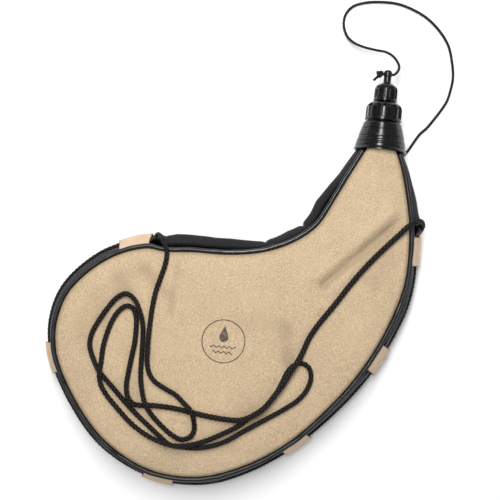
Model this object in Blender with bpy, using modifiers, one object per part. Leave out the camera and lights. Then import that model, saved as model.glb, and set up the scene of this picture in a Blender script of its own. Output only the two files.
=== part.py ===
"""Leather bota bag: a curved wine skin lying on its back.

Metres, +Z up. The origin is on the floor under the middle of the belly, +Y is the
neck's axis out of the mouth, and +X is to the right when the front panel is looked at.
The bag lies on its back panel, so z = 0 is the floor.
"""
import math

import bmesh
import bpy
import numpy as np

# Whole bag
PANEL_WIDTH = 0.274
PANEL_LENGTH = 0.276
PANEL_THICKNESS = 0.002
SEAM_INSET = 0.0085
CROWN = 0.0068
CROWN_REACH = 0.015
GAP = 0.0003

# Neck opening of the panels
NECK_SIDE_ROOM = 0.0101
TUCK_TAPER = 0.0016
TUCK_LENGTH = 0.004

# Piping and gusset
PIPING_RADIUS = 0.0019
PIPING_START = 0.0013
GUSSET_THICKNESS = 0.0014
GUSSET_BULGE = 0.0120

# Bladder
BLADDER_WALL = 0.0008
BLADDER_GAP = 0.0008
BLADDER_EDGE_INSET = 0.0012
BLADDER_NECK_LENGTH = 0.010

# Carry cord and its loops
CORD_RADIUS = 0.0023
EDGE_CORD_RISE = 0.0072
SLACK_LEAD = 0.0015
SLACK_GAP = 0.0006
LOOP_LENGTH = 0.023
LOOP_THICKNESS = 0.0012

# Collar
COLLAR_HEIGHT = 0.0236
COLLAR_BASE_RADIUS = 0.0217
COLLAR_TOP_RADIUS = 0.0156
COLLAR_WALL = 0.0018
COLLAR_CEILING = 0.0022
COLLAR_SHOULDER = 0.0024
RING_STEP = 0.0004
FLOOR_CLEARANCE = 0.0003

# Ferrule
FERRULE_BORE_RADIUS = 0.008
FERRULE_TUBE_WALL = 0.0022
FERRULE_TUBE_RISE = 0.0124
FERRULE_FLANGE_ROOM = 0.0004
FERRULE_FLANGE_HEIGHT = 0.0018
FERRULE_WAIST_INSET = 0.0012
FERRULE_WAIST_HEIGHT = 0.005
FERRULE_SKIRT_ROOM = 0.0075
FERRULE_SKIRT_WALL = 0.0017
FERRULE_SKIRT_TOP = 0.0085
FERRULE_SKIRT_DROP = 0.002
FERRULE_CONE_HEIGHT = 0.0055

# Filler cap and its seal
FILLER_REVEAL = 0.001
FILLER_RADIUS = 0.0146
FILLER_FLARE = 0.0003
FILLER_HEIGHT = 0.0157
FILLER_SHOULDER_WIDTH = 0.0084
FILLER_SHOULDER_HEIGHT = 0.0058
FILLER_FLUTES = 12
FILLER_FLUTE_RADIUS = 0.0034
FILLER_FLUTE_DEPTH = 0.0008
FILLER_FLUTE_FOOT = 0.0022
SEAL_THICKNESS = 0.001
SEAL_WIDTH = 0.0019

# Spout
SPOUT_RADIUS = 0.0055
SPOUT_TIP_RADIUS = 0.0045
SPOUT_TAPER_HEIGHT = 0.0042
SPOUT_TIP_ROUND = 0.0006
SPOUT_HEIGHT = 0.0111
JET_RADIUS = 0.0015

# Small cap, its knob and its seal
SMALL_REVEAL = 0.0004
SMALL_RADIUS = 0.0093
SMALL_FLARE = 0.0003
SMALL_HEIGHT = 0.0143
SMALL_SHOULDER_WIDTH = 0.0064
SMALL_SHOULDER_HEIGHT = 0.0056
SMALL_FLUTES = 12
SMALL_FLUTE_RADIUS = 0.0019
SMALL_FLUTE_DEPTH = 0.0006
SMALL_FLUTE_FOOT = 0.0018
KNOB_HEIGHT = 0.0114
KNOB_RADIUS = 0.00345
KNOB_WAIST_RADIUS = 0.00305
KNOB_HOLE_DROP = 0.0038

# Tether
TETHER_RADIUS = 0.0011
TETHER_KNOT_RADIUS = 0.0025
TETHER_SWEEP_ROOM = 0.0004
TETHER_TAIL_LENGTH = 0.0045

# Facets
TURN_STEPS = 32
FINE_TURN_STEPS = 24
OUTLINE_STEPS = 2
FLUTE_STEPS = 10
CORD_SPACING = 0.024
TETHER_SPACING = 0.010
BEND_DEGREES = 34

# Where the neck stands, as shares of the panel's width and length
NECK_X_SHARE = 0.3996
RIM_Y_SHARE = 0.598

# The panel's outline from the neck to the far end, as shares of its width and length.
# Each line of the two tables is a pair of points across the bag.
HOLLOW_SIDE_SHARES = (
    (0.320, 0.522), (0.284, 0.447), (0.238, 0.359), (0.171, 0.303), (0.087, 0.266),
    (-0.014, 0.248), (-0.107, 0.245), (-0.195, 0.238), (-0.254, 0.241), (-0.333, 0.214),
    (-0.409, 0.159), (-0.466, 0.087), (-0.489, 0.005), (-0.487, -0.058),
)
FULL_SIDE_SHARES = (
    (0.463, 0.546), (0.482, 0.481), (0.499, 0.410), (0.508, 0.332), (0.506, 0.216),
    (0.472, 0.093), (0.410, -0.039), (0.326, -0.159), (0.218, -0.274), (0.092, -0.357),
    (-0.038, -0.401), (-0.180, -0.393), (-0.316, -0.322), (-0.413, -0.214),
)
FAR_END_SHARES = (-0.473, -0.109)

# Columns across the panel, as shares of each row
COLUMN_SHARES = (0.0, 0.05, 0.15, 0.33, 0.67, 0.85, 0.95, 1.0)

# How far the flat back spreads: over 1 gives a flat middle
BACK_SINK_SHARE = 1.06

# The gusset's section, and its bulge along the outline as (share of the way round, share of the bulge)
GUSSET_SECTION_SHARES = (0.0, 0.14, 0.32, 0.5, 0.68, 0.86, 1.0)
GUSSET_BULGE_SHARES = (
    (0.0, 0.35), (0.01, 0.40), (0.0353, 0.50), (0.0479, 0.64), (0.0706, 0.86), (0.094, 0.72),
    (0.103, 0.58), (0.118, 0.70), (0.134, 0.62), (0.146, 0.56), (0.161, 0.78), (0.18, 0.95),
    (0.206, 1.0), (0.23, 1.06), (0.2394, 0.95), (0.2489, 0.58), (0.2583, 0.42), (0.282, 0.34),
    (0.30, 0.42), (0.36, 0.45), (0.39, 0.36), (0.43, 0.36), (0.50, 0.42), (0.54, 0.36),
    (0.57, 0.44), (0.61, 0.48), (0.66, 0.36), (0.70, 0.36), (0.78, 0.55), (0.85, 0.60),
    (0.885, 0.44), (0.915, 0.46), (0.93, 0.68), (0.9456, 0.65), (0.964, 0.54), (0.989, 0.40),
    (1.0, 0.35),
)

# Middles of the carry loops, as shares of the way round the outline
LOOP_PLACE_SHARES = (0.2687, 0.4065, 0.5555, 0.6877, 0.7953, 0.9008)
LOOP_FOLLOW_SHARES = (0.035, 0.14, 0.27, 0.48)
LOOP_WRAP_DEGREES = (60, 20, -20, -60, -100)

# Ring steps low on the collar and the groove higher up, as shares of its height
COLLAR_STEP_SHARES = (0.345, 0.24, 0.13, 0.06)
COLLAR_GROOVE_SHARE = 0.61
COLLAR_GROOVE_WIDTH_SHARE = 0.02

# Round of a shoulder as (share of its width, share of its height)
SHOULDER_SHARES = ((0.0, 1.0), (0.45, 0.88), (0.80, 0.60), (0.96, 0.25), (1.0, 0.0))

# Rod that cuts a flute, as (0 to 1 up its straight, then 1 to 2 up its round end; share of its radius)
FLUTE_TIP_SHARES = ((0.0, 1.0), (1.0, 1.0), (1.5, 0.85), (1.85, 0.5), (2.0, 0.15))

# Knob's turned outline, as (share of the knob's radius, share of its height)
KNOB_TOP_SHARES = ((0.45, 1.0), (0.82, 0.95), (1.0, 0.84), (1.0, 0.50))
KNOB_FOOT_SHARES = ((1.0, 0.37), (1.0, 0.18), (1.2, 0.06), (1.7, 0.0))

# The carry cord's slack, by hand. It leaves the first loop and climbs over the seam,
SLACK_RISE = (
    (-0.0630, 0.0786, 0.0196), (-0.0602, 0.0780, 0.0277), (-0.0558, 0.0741, 0.0385),
)
# lies on the front panel, where the third value is how many cord widths it is lifted at a crossing,
SLACK_LAY = (
    (-0.0522, 0.0649, 0.35), (-0.0525, 0.0558, 0.12), (-0.0547, 0.0455, 0.0), (-0.0572, 0.0353, 0.0),
    (-0.0586, 0.0233, 0.0), (-0.0592, 0.0109, 0.0), (-0.0592, -0.0017, 0.35), (-0.0588, -0.0135, 0.42),
    (-0.0582, -0.0226, 0.25), (-0.0558, -0.0307, 0.05), (-0.0512, -0.0366, 0.0), (-0.0424, -0.0417, 0.0),
    (-0.0333, -0.0459, 0.0), (-0.0260, -0.0514, 0.35), (-0.0194, -0.0568, 1.2), (-0.0165, -0.0650, 0.45),
    (-0.0157, -0.0723, 0.0), (-0.0183, -0.0779, 0.0), (-0.0247, -0.0806, 0.0), (-0.0321, -0.0781, 0.0),
    (-0.0420, -0.0711, 0.0), (-0.0504, -0.0632, 0.35), (-0.0559, -0.0552, 1.15), (-0.0593, -0.0472, 0.3),
    (-0.0618, -0.0370, 0.0), (-0.0628, -0.0260, 0.0), (-0.0632, -0.0141, 0.0), (-0.0637, -0.0023, 0.0),
    (-0.0650, 0.0080, 0.25), (-0.0680, 0.0173, 0.85), (-0.0723, 0.0247, 0.45), (-0.0770, 0.0284, 0.05),
    (-0.0816, 0.0294, 0.0), (-0.0877, 0.0255, 0.0), (-0.0941, 0.0166, 0.0), (-0.1000, 0.0059, 0.0),
    (-0.1045, -0.0053, 0.0), (-0.1049, -0.0147, 0.0), (-0.1002, -0.0250, 0.55), (-0.0951, -0.0325, 1.12),
    (-0.0890, -0.0394, 0.55), (-0.0814, -0.0471, 0.1), (-0.0730, -0.0552, 0.06), (-0.0623, -0.0644, 0.1),
    (-0.0506, -0.0734, 0.02), (-0.0415, -0.0803, 0.0), (-0.0330, -0.0860, 0.0), (-0.0236, -0.0866, 0.0),
    (-0.0125, -0.0863, 0.0), (-0.0009, -0.0835, 0.0), (0.0105, -0.0783, 0.0), (0.0219, -0.0702, 0.0),
    (0.0373, -0.0595, 0.0), (0.0536, -0.0481, 0.0), (0.0636, -0.0399, 0.0), (0.0697, -0.0310, 0.0),
    (0.0720, -0.0209, 0.0), (0.0693, -0.0132, 0.0), (0.0633, -0.0106, 0.0), (0.0570, -0.0133, 0.0),
    (0.0529, -0.0188, 0.0), (0.0491, -0.0286, 0.0), (0.0446, -0.0386, 0.0), (0.0377, -0.0487, 0.0),
    (0.0281, -0.0569, 0.0), (0.0187, -0.0654, 0.0), (0.0068, -0.0730, 0.0), (-0.0054, -0.0795, 0.1),
    (-0.0151, -0.0828, 0.85), (-0.0243, -0.0849, 1.12), (-0.0338, -0.0849, 1.12), (-0.0436, -0.0827, 0.86),
    (-0.0533, -0.0797, 0.1), (-0.0656, -0.0724, 0.0), (-0.0779, -0.0616, 0.0), (-0.0874, -0.0521, 0.0),
    (-0.0930, -0.0442, 0.0), (-0.0950, -0.0359, 0.02), (-0.0945, -0.0263, 0.0), (-0.0943, -0.0160, 0.0),
    (-0.0925, -0.0040, 0.0), (-0.0890, 0.0079, 0.0), (-0.0845, 0.0159, 0.0), (-0.0794, 0.0199, 0.0),
    (-0.0747, 0.0193, 0.0), (-0.0711, 0.0136, 0.0), (-0.0696, -0.0066, 0.0), (-0.0710, -0.0200, 0.0),
    (-0.0722, -0.0324, 0.0), (-0.0727, -0.0430, 0.0), (-0.0704, -0.0510, 0.95), (-0.0664, -0.0558, 0.6),
    (-0.0609, -0.0572, 0.0), (-0.0515, -0.0563, 0.0), (-0.0363, -0.0563, 0.0), (-0.0203, -0.0582, 0.0),
    (-0.0057, -0.0601, 0.0), (0.0087, -0.0611, 0.02), (0.0193, -0.0601, 0.7), (0.0283, -0.0558, 1.24),
    (0.0376, -0.0480, 1.1), (0.0445, -0.0378, 1.1), (0.0503, -0.0282, 1.05), (0.0550, -0.0185, 0.95),
    (0.0595, -0.0097, 1.1), (0.0630, -0.0021, 0.3), (0.0674, 0.0104, 0.02), (0.0732, 0.0212, 0.0),
    (0.0843, 0.0381, 0.0), (0.0966, 0.0576, 0.0), (0.1092, 0.0749, 0.0), (0.1223, 0.0904, 0.0),
    (0.1307, 0.0998, 0.12), (0.1361, 0.1059, 0.3),
)
# and drops outside the bag in a short bend to the last loop.
SLACK_FALL = (
    (0.1406, 0.1092, 0.0418), (0.1457, 0.1114, 0.0362), (0.1496, 0.1093, 0.0276), (0.1498, 0.1053, 0.0200),
)

# The tether, from beside the knob down and back under the neck's line, to the floor, round in a loop and to the collar's foot
TETHER_START = (
    (0.0008, 0.0, 0.0), (0.0016, 0.0028, -0.0006), (0.0008, 0.0064, -0.0042), (-0.0020, 0.0112, -0.0082),
    (-0.0064, 0.0177, -0.0115), (-0.0120, 0.0207, -0.0122),
)
TETHER_LAY = (
    (0.0990, 0.2490, 0.0095), (0.0888, 0.2509, 0.0074), (0.0804, 0.2541, 0.0050), (0.0747, 0.2591, 0.0028),
    (0.0716, 0.2655, 0.0015), (0.0706, 0.2715, 0.0013), (0.0718, 0.2781, 0.0013), (0.0768, 0.2846, 0.0013),
    (0.0862, 0.2887, 0.0013), (0.0973, 0.2906, 0.0013), (0.1120, 0.2909, 0.0013), (0.1236, 0.2884, 0.0013),
    (0.1383, 0.2820, 0.0013), (0.1507, 0.2719, 0.0013), (0.1591, 0.2608, 0.0013), (0.1637, 0.2471, 0.0013),
    (0.1658, 0.2346, 0.0013), (0.1649, 0.2242, 0.0013), (0.1628, 0.2146, 0.0013), (0.1576, 0.2046, 0.0013),
    (0.1532, 0.1976, 0.0013), (0.1488, 0.1910, 0.0013), (0.1434, 0.1850, 0.0013), (0.1389, 0.1774, 0.0013),
    (0.1347, 0.1698, 0.0013), (0.1298, 0.1640, 0.0014),
)
TETHER_END = ((0.0172, -0.0030, 0.0030), (0.0154, -0.0034, 0.0058))

# Places and sizes that follow from the ones above
NECK_X = PANEL_WIDTH * NECK_X_SHARE
RIM_Y = PANEL_LENGTH * RIM_Y_SHARE
NECK_Z = COLLAR_BASE_RADIUS + FLOOR_CLEARANCE
NECK_HALF_WIDTH = COLLAR_BASE_RADIUS - NECK_SIDE_ROOM
TUCK_HALF_WIDTH = NECK_HALF_WIDTH - TUCK_TAPER
FRONT_SEAM_Z = NECK_Z + COLLAR_BASE_RADIUS - SEAM_INSET
BACK_SEAM_Z = NECK_Z - COLLAR_BASE_RADIUS + SEAM_INSET
SEAM_OFFSET = PIPING_RADIUS + GAP
GUSSET_TOP_Z = FRONT_SEAM_Z - PIPING_RADIUS - GAP
GUSSET_FOOT_Z = BACK_SEAM_Z + PIPING_RADIUS + GAP
EDGE_CORD_Z = BACK_SEAM_Z + EDGE_CORD_RISE
FERRULE_TUBE_RADIUS = FERRULE_BORE_RADIUS + FERRULE_TUBE_WALL
FERRULE_FLANGE_RADIUS = COLLAR_TOP_RADIUS - COLLAR_WALL - FERRULE_FLANGE_ROOM
FERRULE_WAIST_RADIUS = FERRULE_FLANGE_RADIUS - FERRULE_WAIST_INSET
FERRULE_SKIRT_RADIUS = COLLAR_BASE_RADIUS - FERRULE_SKIRT_ROOM
FERRULE_TOP = COLLAR_HEIGHT + FERRULE_TUBE_RISE
FILLER_FOOT = COLLAR_HEIGHT + FILLER_REVEAL
FILLER_TOP = FILLER_FOOT + FILLER_HEIGHT
FILLER_CEILING = FERRULE_TOP + GAP + SEAL_THICKNESS + GAP
SPOUT_TOP = FILLER_TOP + SPOUT_HEIGHT
SMALL_FOOT = FILLER_TOP + SMALL_REVEAL
SMALL_TOP = SMALL_FOOT + SMALL_HEIGHT
SMALL_CEILING = SPOUT_TOP + GAP + SEAL_THICKNESS + GAP
KNOB_TOP = SMALL_TOP + KNOB_HEIGHT
HOLE_Y = KNOB_TOP - KNOB_HOLE_DROP
TETHER_SWEEP_RADIUS = SMALL_RADIUS + SMALL_FLARE + TETHER_SWEEP_ROOM


def clear_scene():
    """Remove every object, so that the script can be run again."""
    for item in list(bpy.data.objects):
        bpy.data.objects.remove(item, do_unlink=True)


def new_collection(name):
    """A collection linked to the scene."""
    group = bpy.data.collections.new(name)
    bpy.context.scene.collection.children.link(group)
    return group


def finish_of(name, colour, roughness, metallic=0.0):
    """A Principled material."""
    material = bpy.data.materials.new(name)
    material.use_nodes = True
    shader = material.node_tree.nodes["Principled BSDF"]
    shader.inputs["Base Color"].default_value = (*colour, 1.0)
    shader.inputs["Roughness"].default_value = roughness
    shader.inputs["Metallic"].default_value = metallic
    material.diffuse_color = (*colour, 1.0)
    return material


SUEDE = ((0.66, 0.52, 0.36), 0.95)
LOOP_LEATHER = ((0.78, 0.58, 0.38), 0.85)
GLOSS_BLACK = ((0.012, 0.012, 0.014), 0.22)
MATT_BLACK = ((0.020, 0.020, 0.023), 0.75)
BAKELITE = ((0.010, 0.010, 0.012), 0.15)
BRAID_BLACK = ((0.015, 0.015, 0.018), 0.80)
SEAL_RUBBER = ((0.45, 0.10, 0.07), 0.70)
LATEX = ((0.70, 0.62, 0.48), 0.60)


def add_node(group, name, mesh, look, parent=None):
    """An object for one sub-part, with its own material."""
    item = bpy.data.objects.new(name, mesh)
    group.objects.link(item)
    item.data.materials.append(finish_of(name, *look))
    if parent is not None:
        item.parent = parent
    return item


def sheet_mesh(name, grid, closed=False, far_cap=False):
    """A surface over a grid of points, rows by columns; closed joins the last column to the first."""
    rows, columns = grid.shape[:2]
    index = np.arange(rows * columns).reshape(rows, columns)
    if closed:
        index = np.column_stack([index, index[:, 0]])
    a, b = index[:-1, :-1], index[1:, :-1]
    c, d = index[1:, 1:], index[:-1, 1:]
    faces = np.stack([a, b, c, d], axis=-1).reshape(-1, 4).tolist()
    if far_cap:
        faces.append(index[-1, :columns][::-1].tolist())
    mesh = bpy.data.meshes.new(name)
    mesh.from_pydata(grid.reshape(-1, 3).tolist(), [], faces)
    work = bmesh.new()
    work.from_mesh(mesh)
    bmesh.ops.remove_doubles(work, verts=work.verts, dist=GAP / 10)
    work.to_mesh(mesh)
    work.free()
    mesh.shade_smooth()
    return mesh


def add_wall(item, thickness, offset):
    """Give an open surface its wall: offset -1 keeps the surface as the outer side."""
    wall = item.modifiers.new("Wall", "SOLIDIFY")
    wall.thickness = thickness
    wall.offset = offset


def add_tube(group, name, points, radius, look, shares=None, parent=None):
    """A round cord or wire through the points, with filled ends."""
    curve = bpy.data.curves.new(name, "CURVE")
    curve.dimensions = "3D"
    curve.bevel_depth = radius
    curve.bevel_resolution = 2
    curve.use_fill_caps = True
    spline = curve.splines.new("POLY")
    spline.points.add(len(points) - 1)
    for number, place in enumerate(points):
        spline.points[number].co = (*place, 1.0)
        if shares is not None:
            spline.points[number].radius = shares[number]
    return add_node(group, name, curve, look, parent)


def add_turned(group, name, profile, steps, look, parent):
    """Turn a section of (radius, height) round the neck's axis; its outer side runs from top to bottom."""
    mesh = bpy.data.meshes.new(name)
    ring = [(radius, 0.0, height) for radius, height in profile]
    edges = [(number, number + 1) for number in range(len(ring) - 1)]
    if profile[0][0] > 0:
        edges.append((len(ring) - 1, 0))
    mesh.from_pydata(ring, edges, [])
    item = add_node(group, name, mesh, look, parent)
    turn = item.modifiers.new("Turn", "SCREW")
    turn.axis = "Z"
    turn.angle = math.tau
    turn.steps = steps
    turn.render_steps = steps
    turn.use_merge_vertices = True
    turn.merge_threshold = GAP / 10
    return item


def steps_between(points, spacing, bend_degrees):
    """How many steps to take between each two of a route's points: more where it is long or bends."""
    chords = np.diff(np.asarray(points), axis=0)
    lengths = np.linalg.norm(chords, axis=1)
    ways = chords / lengths[:, None]
    middles = np.concatenate([ways[:1], ways[:-1] + ways[1:], ways[-1:]])
    middles /= np.linalg.norm(middles, axis=1, keepdims=True)
    bends = np.degrees(np.arccos(np.clip(np.sum(middles[:-1] * middles[1:], axis=1), -1.0, 1.0)))
    steps = np.maximum(np.rint(lengths / spacing), np.rint(bends / bend_degrees))
    return np.maximum(steps, 1).astype(int)


def smooth_route(points, steps):
    """Points read from one smooth curve through the route's own points, with steps between each two."""
    p = np.asarray(points, dtype=float)
    chord = np.sqrt(np.linalg.norm(np.diff(p, axis=0), axis=1))
    slope = np.diff(p, axis=0) / chord[:, None]
    tangent = np.empty_like(p)
    tangent[0] = slope[0]
    tangent[-1] = slope[-1]
    before, after = chord[:-1, None], chord[1:, None]
    tangent[1:-1] = (slope[:-1] * after + slope[1:] * before) / (before + after)
    steps = np.broadcast_to(steps, len(p) - 1)
    i = np.append(np.repeat(np.arange(len(p) - 1), steps), len(p) - 2)
    f = np.append(np.concatenate([np.arange(count) / count for count in steps]), 1.0)[:, None]
    h = chord[i][:, None]
    return (
        (2 * f**3 - 3 * f**2 + 1) * p[i]
        + (f**3 - 2 * f**2 + f) * h * tangent[i]
        + (3 * f**2 - 2 * f**3) * p[i + 1]
        + (f**3 - f**2) * h * tangent[i + 1]
    )


def bag_outline():
    """The panel's edge from the neck's hollow side, round the far end, to the neck's full side."""
    size = np.array([PANEL_WIDTH, PANEL_LENGTH])
    neck = np.array([NECK_X, RIM_Y])
    tuck = np.array([TUCK_HALF_WIDTH, TUCK_LENGTH])
    rim = np.array([NECK_HALF_WIDTH, 0.0])
    mirror = np.array([-1.0, 1.0])
    stations = [neck + tuck * mirror, neck + rim * mirror]
    stations += [size * share for share in HOLLOW_SIDE_SHARES]
    stations.append(size * FAR_END_SHARES)
    stations += [size * share for share in reversed(FULL_SIDE_SHARES)]
    stations += [neck + rim, neck + tuck]
    return smooth_route(stations, OUTLINE_STEPS)


def unit(vectors):
    """Each vector at length one."""
    return vectors / np.linalg.norm(vectors, axis=-1, keepdims=True)


OUTLINE = bag_outline()
ROWS = len(OUTLINE) // 2 + 1
RIM_INDEX = OUTLINE_STEPS


def outward_directions():
    """Away from the bag at each point of the edge: square to it, but straight across at the neck."""
    along = unit(np.gradient(OUTLINE, axis=0))
    normal = np.column_stack([along[:, 1], -along[:, 0]])
    across = np.zeros_like(normal)
    across[:ROWS, 0] = -1.0
    across[ROWS:, 0] = 1.0
    number = np.arange(len(OUTLINE))
    from_neck = np.minimum(number, len(OUTLINE) - 1 - number)
    weight = np.clip((from_neck - RIM_INDEX) / (2 * RIM_INDEX), 0.0, 1.0)[:, None]
    way = unit(across * (1 - weight) + normal * weight)
    return way / np.sum(way * normal, axis=1, keepdims=True)


OUTWARD = outward_directions()


def way_round():
    """The share of the way round the outline at each of its points."""
    steps = np.linalg.norm(np.diff(OUTLINE, axis=0), axis=1)
    return np.concatenate([[0.0], np.cumsum(steps)]) / np.sum(steps)


WAY_ROUND = way_round()
WAY_LENGTH = np.sum(np.linalg.norm(np.diff(OUTLINE, axis=0), axis=1))


def read_along(values, shares):
    """Values known at the outline's points, read at shares of the way round."""
    values = np.asarray(values)
    if values.ndim == 1:
        return np.interp(shares, WAY_ROUND, values)
    return np.column_stack([np.interp(shares, WAY_ROUND, column) for column in values.T])


def edge_points(shares, offsets, heights):
    """Points at offsets outside the panel's edge and at heights over the floor."""
    offsets = np.broadcast_to(offsets, np.shape(shares))
    heights = np.broadcast_to(heights, np.shape(shares))
    flat = read_along(OUTLINE, shares) + read_along(OUTWARD, shares) * offsets[:, None]
    return np.column_stack([flat, heights])


def bulge_at(shares):
    """How far the gusset stands out of the seams at shares of the way round."""
    table = np.array(GUSSET_BULGE_SHARES)
    at_points = np.interp(WAY_ROUND, table[:, 0], table[:, 1])
    return GUSSET_BULGE * read_along(at_points, shares)


def depth_inside(places):
    """Distance of each (x, y) in from the panel's sewn edge, and 0 outside it."""
    start = OUTLINE[:-1]
    step = OUTLINE[1:] - start
    reach = places[:, None, :] - start[None]
    share = np.sum(reach * step, axis=2) / np.sum(step * step, axis=1)
    away = reach - np.clip(share, 0.0, 1.0)[..., None] * step
    distance = np.linalg.norm(away, axis=2)
    nearest = np.argmin(distance, axis=1)
    row = np.arange(len(places))
    outside = np.sum(away[row, nearest] * OUTWARD[nearest], axis=1) > 0
    return np.where(outside, 0.0, distance[row, nearest])


def swell(places):
    """The pillow's rise from the seam inwards, from 0 at the seam to 1."""
    return 1.0 - np.exp(-depth_inside(places) / CROWN_REACH)


def front_height(places):
    """Top of the front panel."""
    return FRONT_SEAM_Z + PANEL_THICKNESS / 2 + CROWN * swell(places)


def resting_height(places):
    """Middle of the carry cord lying on the front panel."""
    return front_height(places) + SLACK_GAP + CORD_RADIUS


def back_height(places):
    """Underside of the back panel, pressed flat on the floor."""
    edge = BACK_SEAM_Z - PANEL_THICKNESS / 2
    return edge * np.maximum(0.0, 1.0 - BACK_SINK_SHARE * swell(places))


def panel_grid(height, outline):
    """Rows across the bag from the neck to the far end, raised by a height function."""
    left = outline[:ROWS]
    right = outline[ROWS - 1:][::-1]
    share = np.array(COLUMN_SHARES)[None, :, None]
    flat = left[:, None, :] * (1 - share) + right[:, None, :] * share
    z = height(flat.reshape(-1, 2)).reshape(ROWS, -1, 1)
    return np.concatenate([flat, z], axis=2)


def make_panels(group):
    """Front and back panels: the same cut of suede, the back one pressed flat."""
    front = add_node(group, "front_panel", sheet_mesh("front_panel", panel_grid(front_height, OUTLINE)), SUEDE)
    add_wall(front, PANEL_THICKNESS, -1.0)
    back_rows = panel_grid(back_height, OUTLINE)[:, ::-1]
    back = add_node(group, "back_panel", sheet_mesh("back_panel", back_rows), SUEDE)
    add_wall(back, PANEL_THICKNESS, -1.0)


def make_pipings(group):
    """The round pipings in the two seams, up to the collar."""
    inner = WAY_ROUND[RIM_INDEX:-RIM_INDEX].copy()
    inner[0] += PIPING_START / WAY_LENGTH
    inner[-1] -= PIPING_START / WAY_LENGTH
    for name, height in (("front_piping", FRONT_SEAM_Z), ("back_piping", BACK_SEAM_Z)):
        add_tube(group, name, edge_points(inner, SEAM_OFFSET, height), PIPING_RADIUS, GLOSS_BLACK)


def gusset_offset(shares, section):
    """How far outside the edge the gusset's outer face is, at a share of its section from the front seam."""
    return SEAM_OFFSET + bulge_at(shares) * math.sin(math.pi * section)


def gusset_height(section):
    """Height of the gusset at a share of its section from the front seam."""
    return GUSSET_TOP_Z + (GUSSET_FOOT_Z - GUSSET_TOP_Z) * section


def make_gusset(group):
    """The strip that joins the panels and puffs out between the seams."""
    columns = [
        edge_points(WAY_ROUND, gusset_offset(WAY_ROUND, section), gusset_height(section))
        for section in GUSSET_SECTION_SHARES
    ]
    grid = np.stack(columns, axis=1)[:, ::-1]
    gusset = add_node(group, "gusset", sheet_mesh("gusset", grid), MATT_BLACK)
    add_wall(gusset, GUSSET_THICKNESS, -1.0)


def make_bladder(group):
    """The inner bag: rings that follow the panels and the gusset, open at the ferrule's skirt."""
    drop = PANEL_THICKNESS + BLADDER_GAP
    inner = OUTLINE - OUTWARD * BLADDER_EDGE_INSET
    top = panel_grid(front_height, inner)
    foot = panel_grid(back_height, inner)
    top[:, :, 2] -= drop
    foot[:, :, 2] += drop
    side_offset = gusset_offset(WAY_ROUND, 0.5) - GUSSET_THICKNESS - BLADDER_GAP
    side = edge_points(WAY_ROUND, side_offset, NECK_Z)
    left = side[:ROWS][:, None, :]
    right = side[ROWS - 1:][::-1][:, None, :]
    rings = np.concatenate([top, right, foot[:, ::-1], left], axis=1)
    skirt_foot = RIM_Y - FERRULE_SKIRT_DROP
    below = rings[:, :, 1].max(axis=1) < skirt_foot - BLADDER_NECK_LENGTH
    rings = rings[below][:-1]
    first = rings[0]
    middle_radius = FERRULE_SKIRT_RADIUS - FERRULE_SKIRT_WALL / 2 + BLADDER_WALL / 2
    spread = first[:, [0, 2]] - np.array([NECK_X, NECK_Z])
    circle = unit(spread) * middle_radius
    neck_ring = np.column_stack([
        NECK_X + circle[:, 0], np.full(len(first), skirt_foot - GAP), NECK_Z + circle[:, 1],
    ])
    rings = np.concatenate([neck_ring[None], rings])
    mesh = sheet_mesh("bladder", rings, closed=True, far_cap=True)
    bladder = add_node(group, "bladder", mesh, LATEX)
    add_wall(bladder, BLADDER_WALL, -1.0)


def beside_gusset(shares, section, half):
    """How far outside the edge the middle of a piece is that lies against the gusset, half its thickness off."""
    slope = math.pi * bulge_at(shares) * math.cos(math.pi * section) / (GUSSET_TOP_Z - GUSSET_FOOT_Z)
    return gusset_offset(shares, section) + (GAP + half) * np.hypot(1.0, slope)


def edge_cord_offset(shares):
    """Middle of the carry cord outside the panel's edge."""
    section = (GUSSET_TOP_Z - EDGE_CORD_Z) / (GUSSET_TOP_Z - GUSSET_FOOT_Z)
    return beside_gusset(shares, section, CORD_RADIUS)


HALF_LOOP_SHARE = LOOP_LENGTH / 2 / WAY_LENGTH
EDGE_CORD_SPAN = (LOOP_PLACE_SHARES[0] - HALF_LOOP_SHARE, LOOP_PLACE_SHARES[-1] + HALF_LOOP_SHARE)


def make_edge_cord(group):
    """The carry cord's run round the bag, through the six loops."""
    inside = (WAY_ROUND > EDGE_CORD_SPAN[0]) & (WAY_ROUND < EDGE_CORD_SPAN[1])
    shares = np.concatenate([[EDGE_CORD_SPAN[0]], WAY_ROUND[inside], [EDGE_CORD_SPAN[1]]])
    points = edge_points(shares, edge_cord_offset(shares), EDGE_CORD_Z)
    add_tube(group, "carry_cord_edge", points, CORD_RADIUS, BRAID_BLACK)


def loop_sections(shares):
    """Middle line of a carry loop at each share: out of the front seam, round the cord, into the back seam."""
    half = LOOP_THICKNESS / 2
    middle = edge_cord_offset(shares)
    wrap = CORD_RADIUS + GAP + half
    section = [(beside_gusset(shares, follow, half), gusset_height(follow)) for follow in LOOP_FOLLOW_SHARES]
    for degrees in LOOP_WRAP_DEGREES:
        angle = math.radians(degrees)
        section.append((middle + wrap * math.cos(angle), EDGE_CORD_Z + wrap * math.sin(angle)))
    foot = 1.0 - LOOP_FOLLOW_SHARES[0]
    section.append((beside_gusset(shares, foot, half), gusset_height(foot)))
    return section


def make_loops(group):
    """Six leather loops sewn in both seams, over the carry cord."""
    for number, middle in enumerate(LOOP_PLACE_SHARES, start=1):
        ends = (middle - HALF_LOOP_SHARE, middle + HALF_LOOP_SHARE)
        inside = WAY_ROUND[(WAY_ROUND > ends[0]) & (WAY_ROUND < ends[1])]
        shares = np.concatenate([[ends[0]], inside, [ends[1]]])
        columns = [edge_points(shares, offsets, height) for offsets, height in loop_sections(shares)]
        grid = np.stack(columns, axis=1)[:, ::-1]
        name = f"carry_loop_{number}"
        loop = add_node(group, name, sheet_mesh(name, grid), LOOP_LEATHER)
        add_wall(loop, LOOP_THICKNESS, 0.0)


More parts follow.
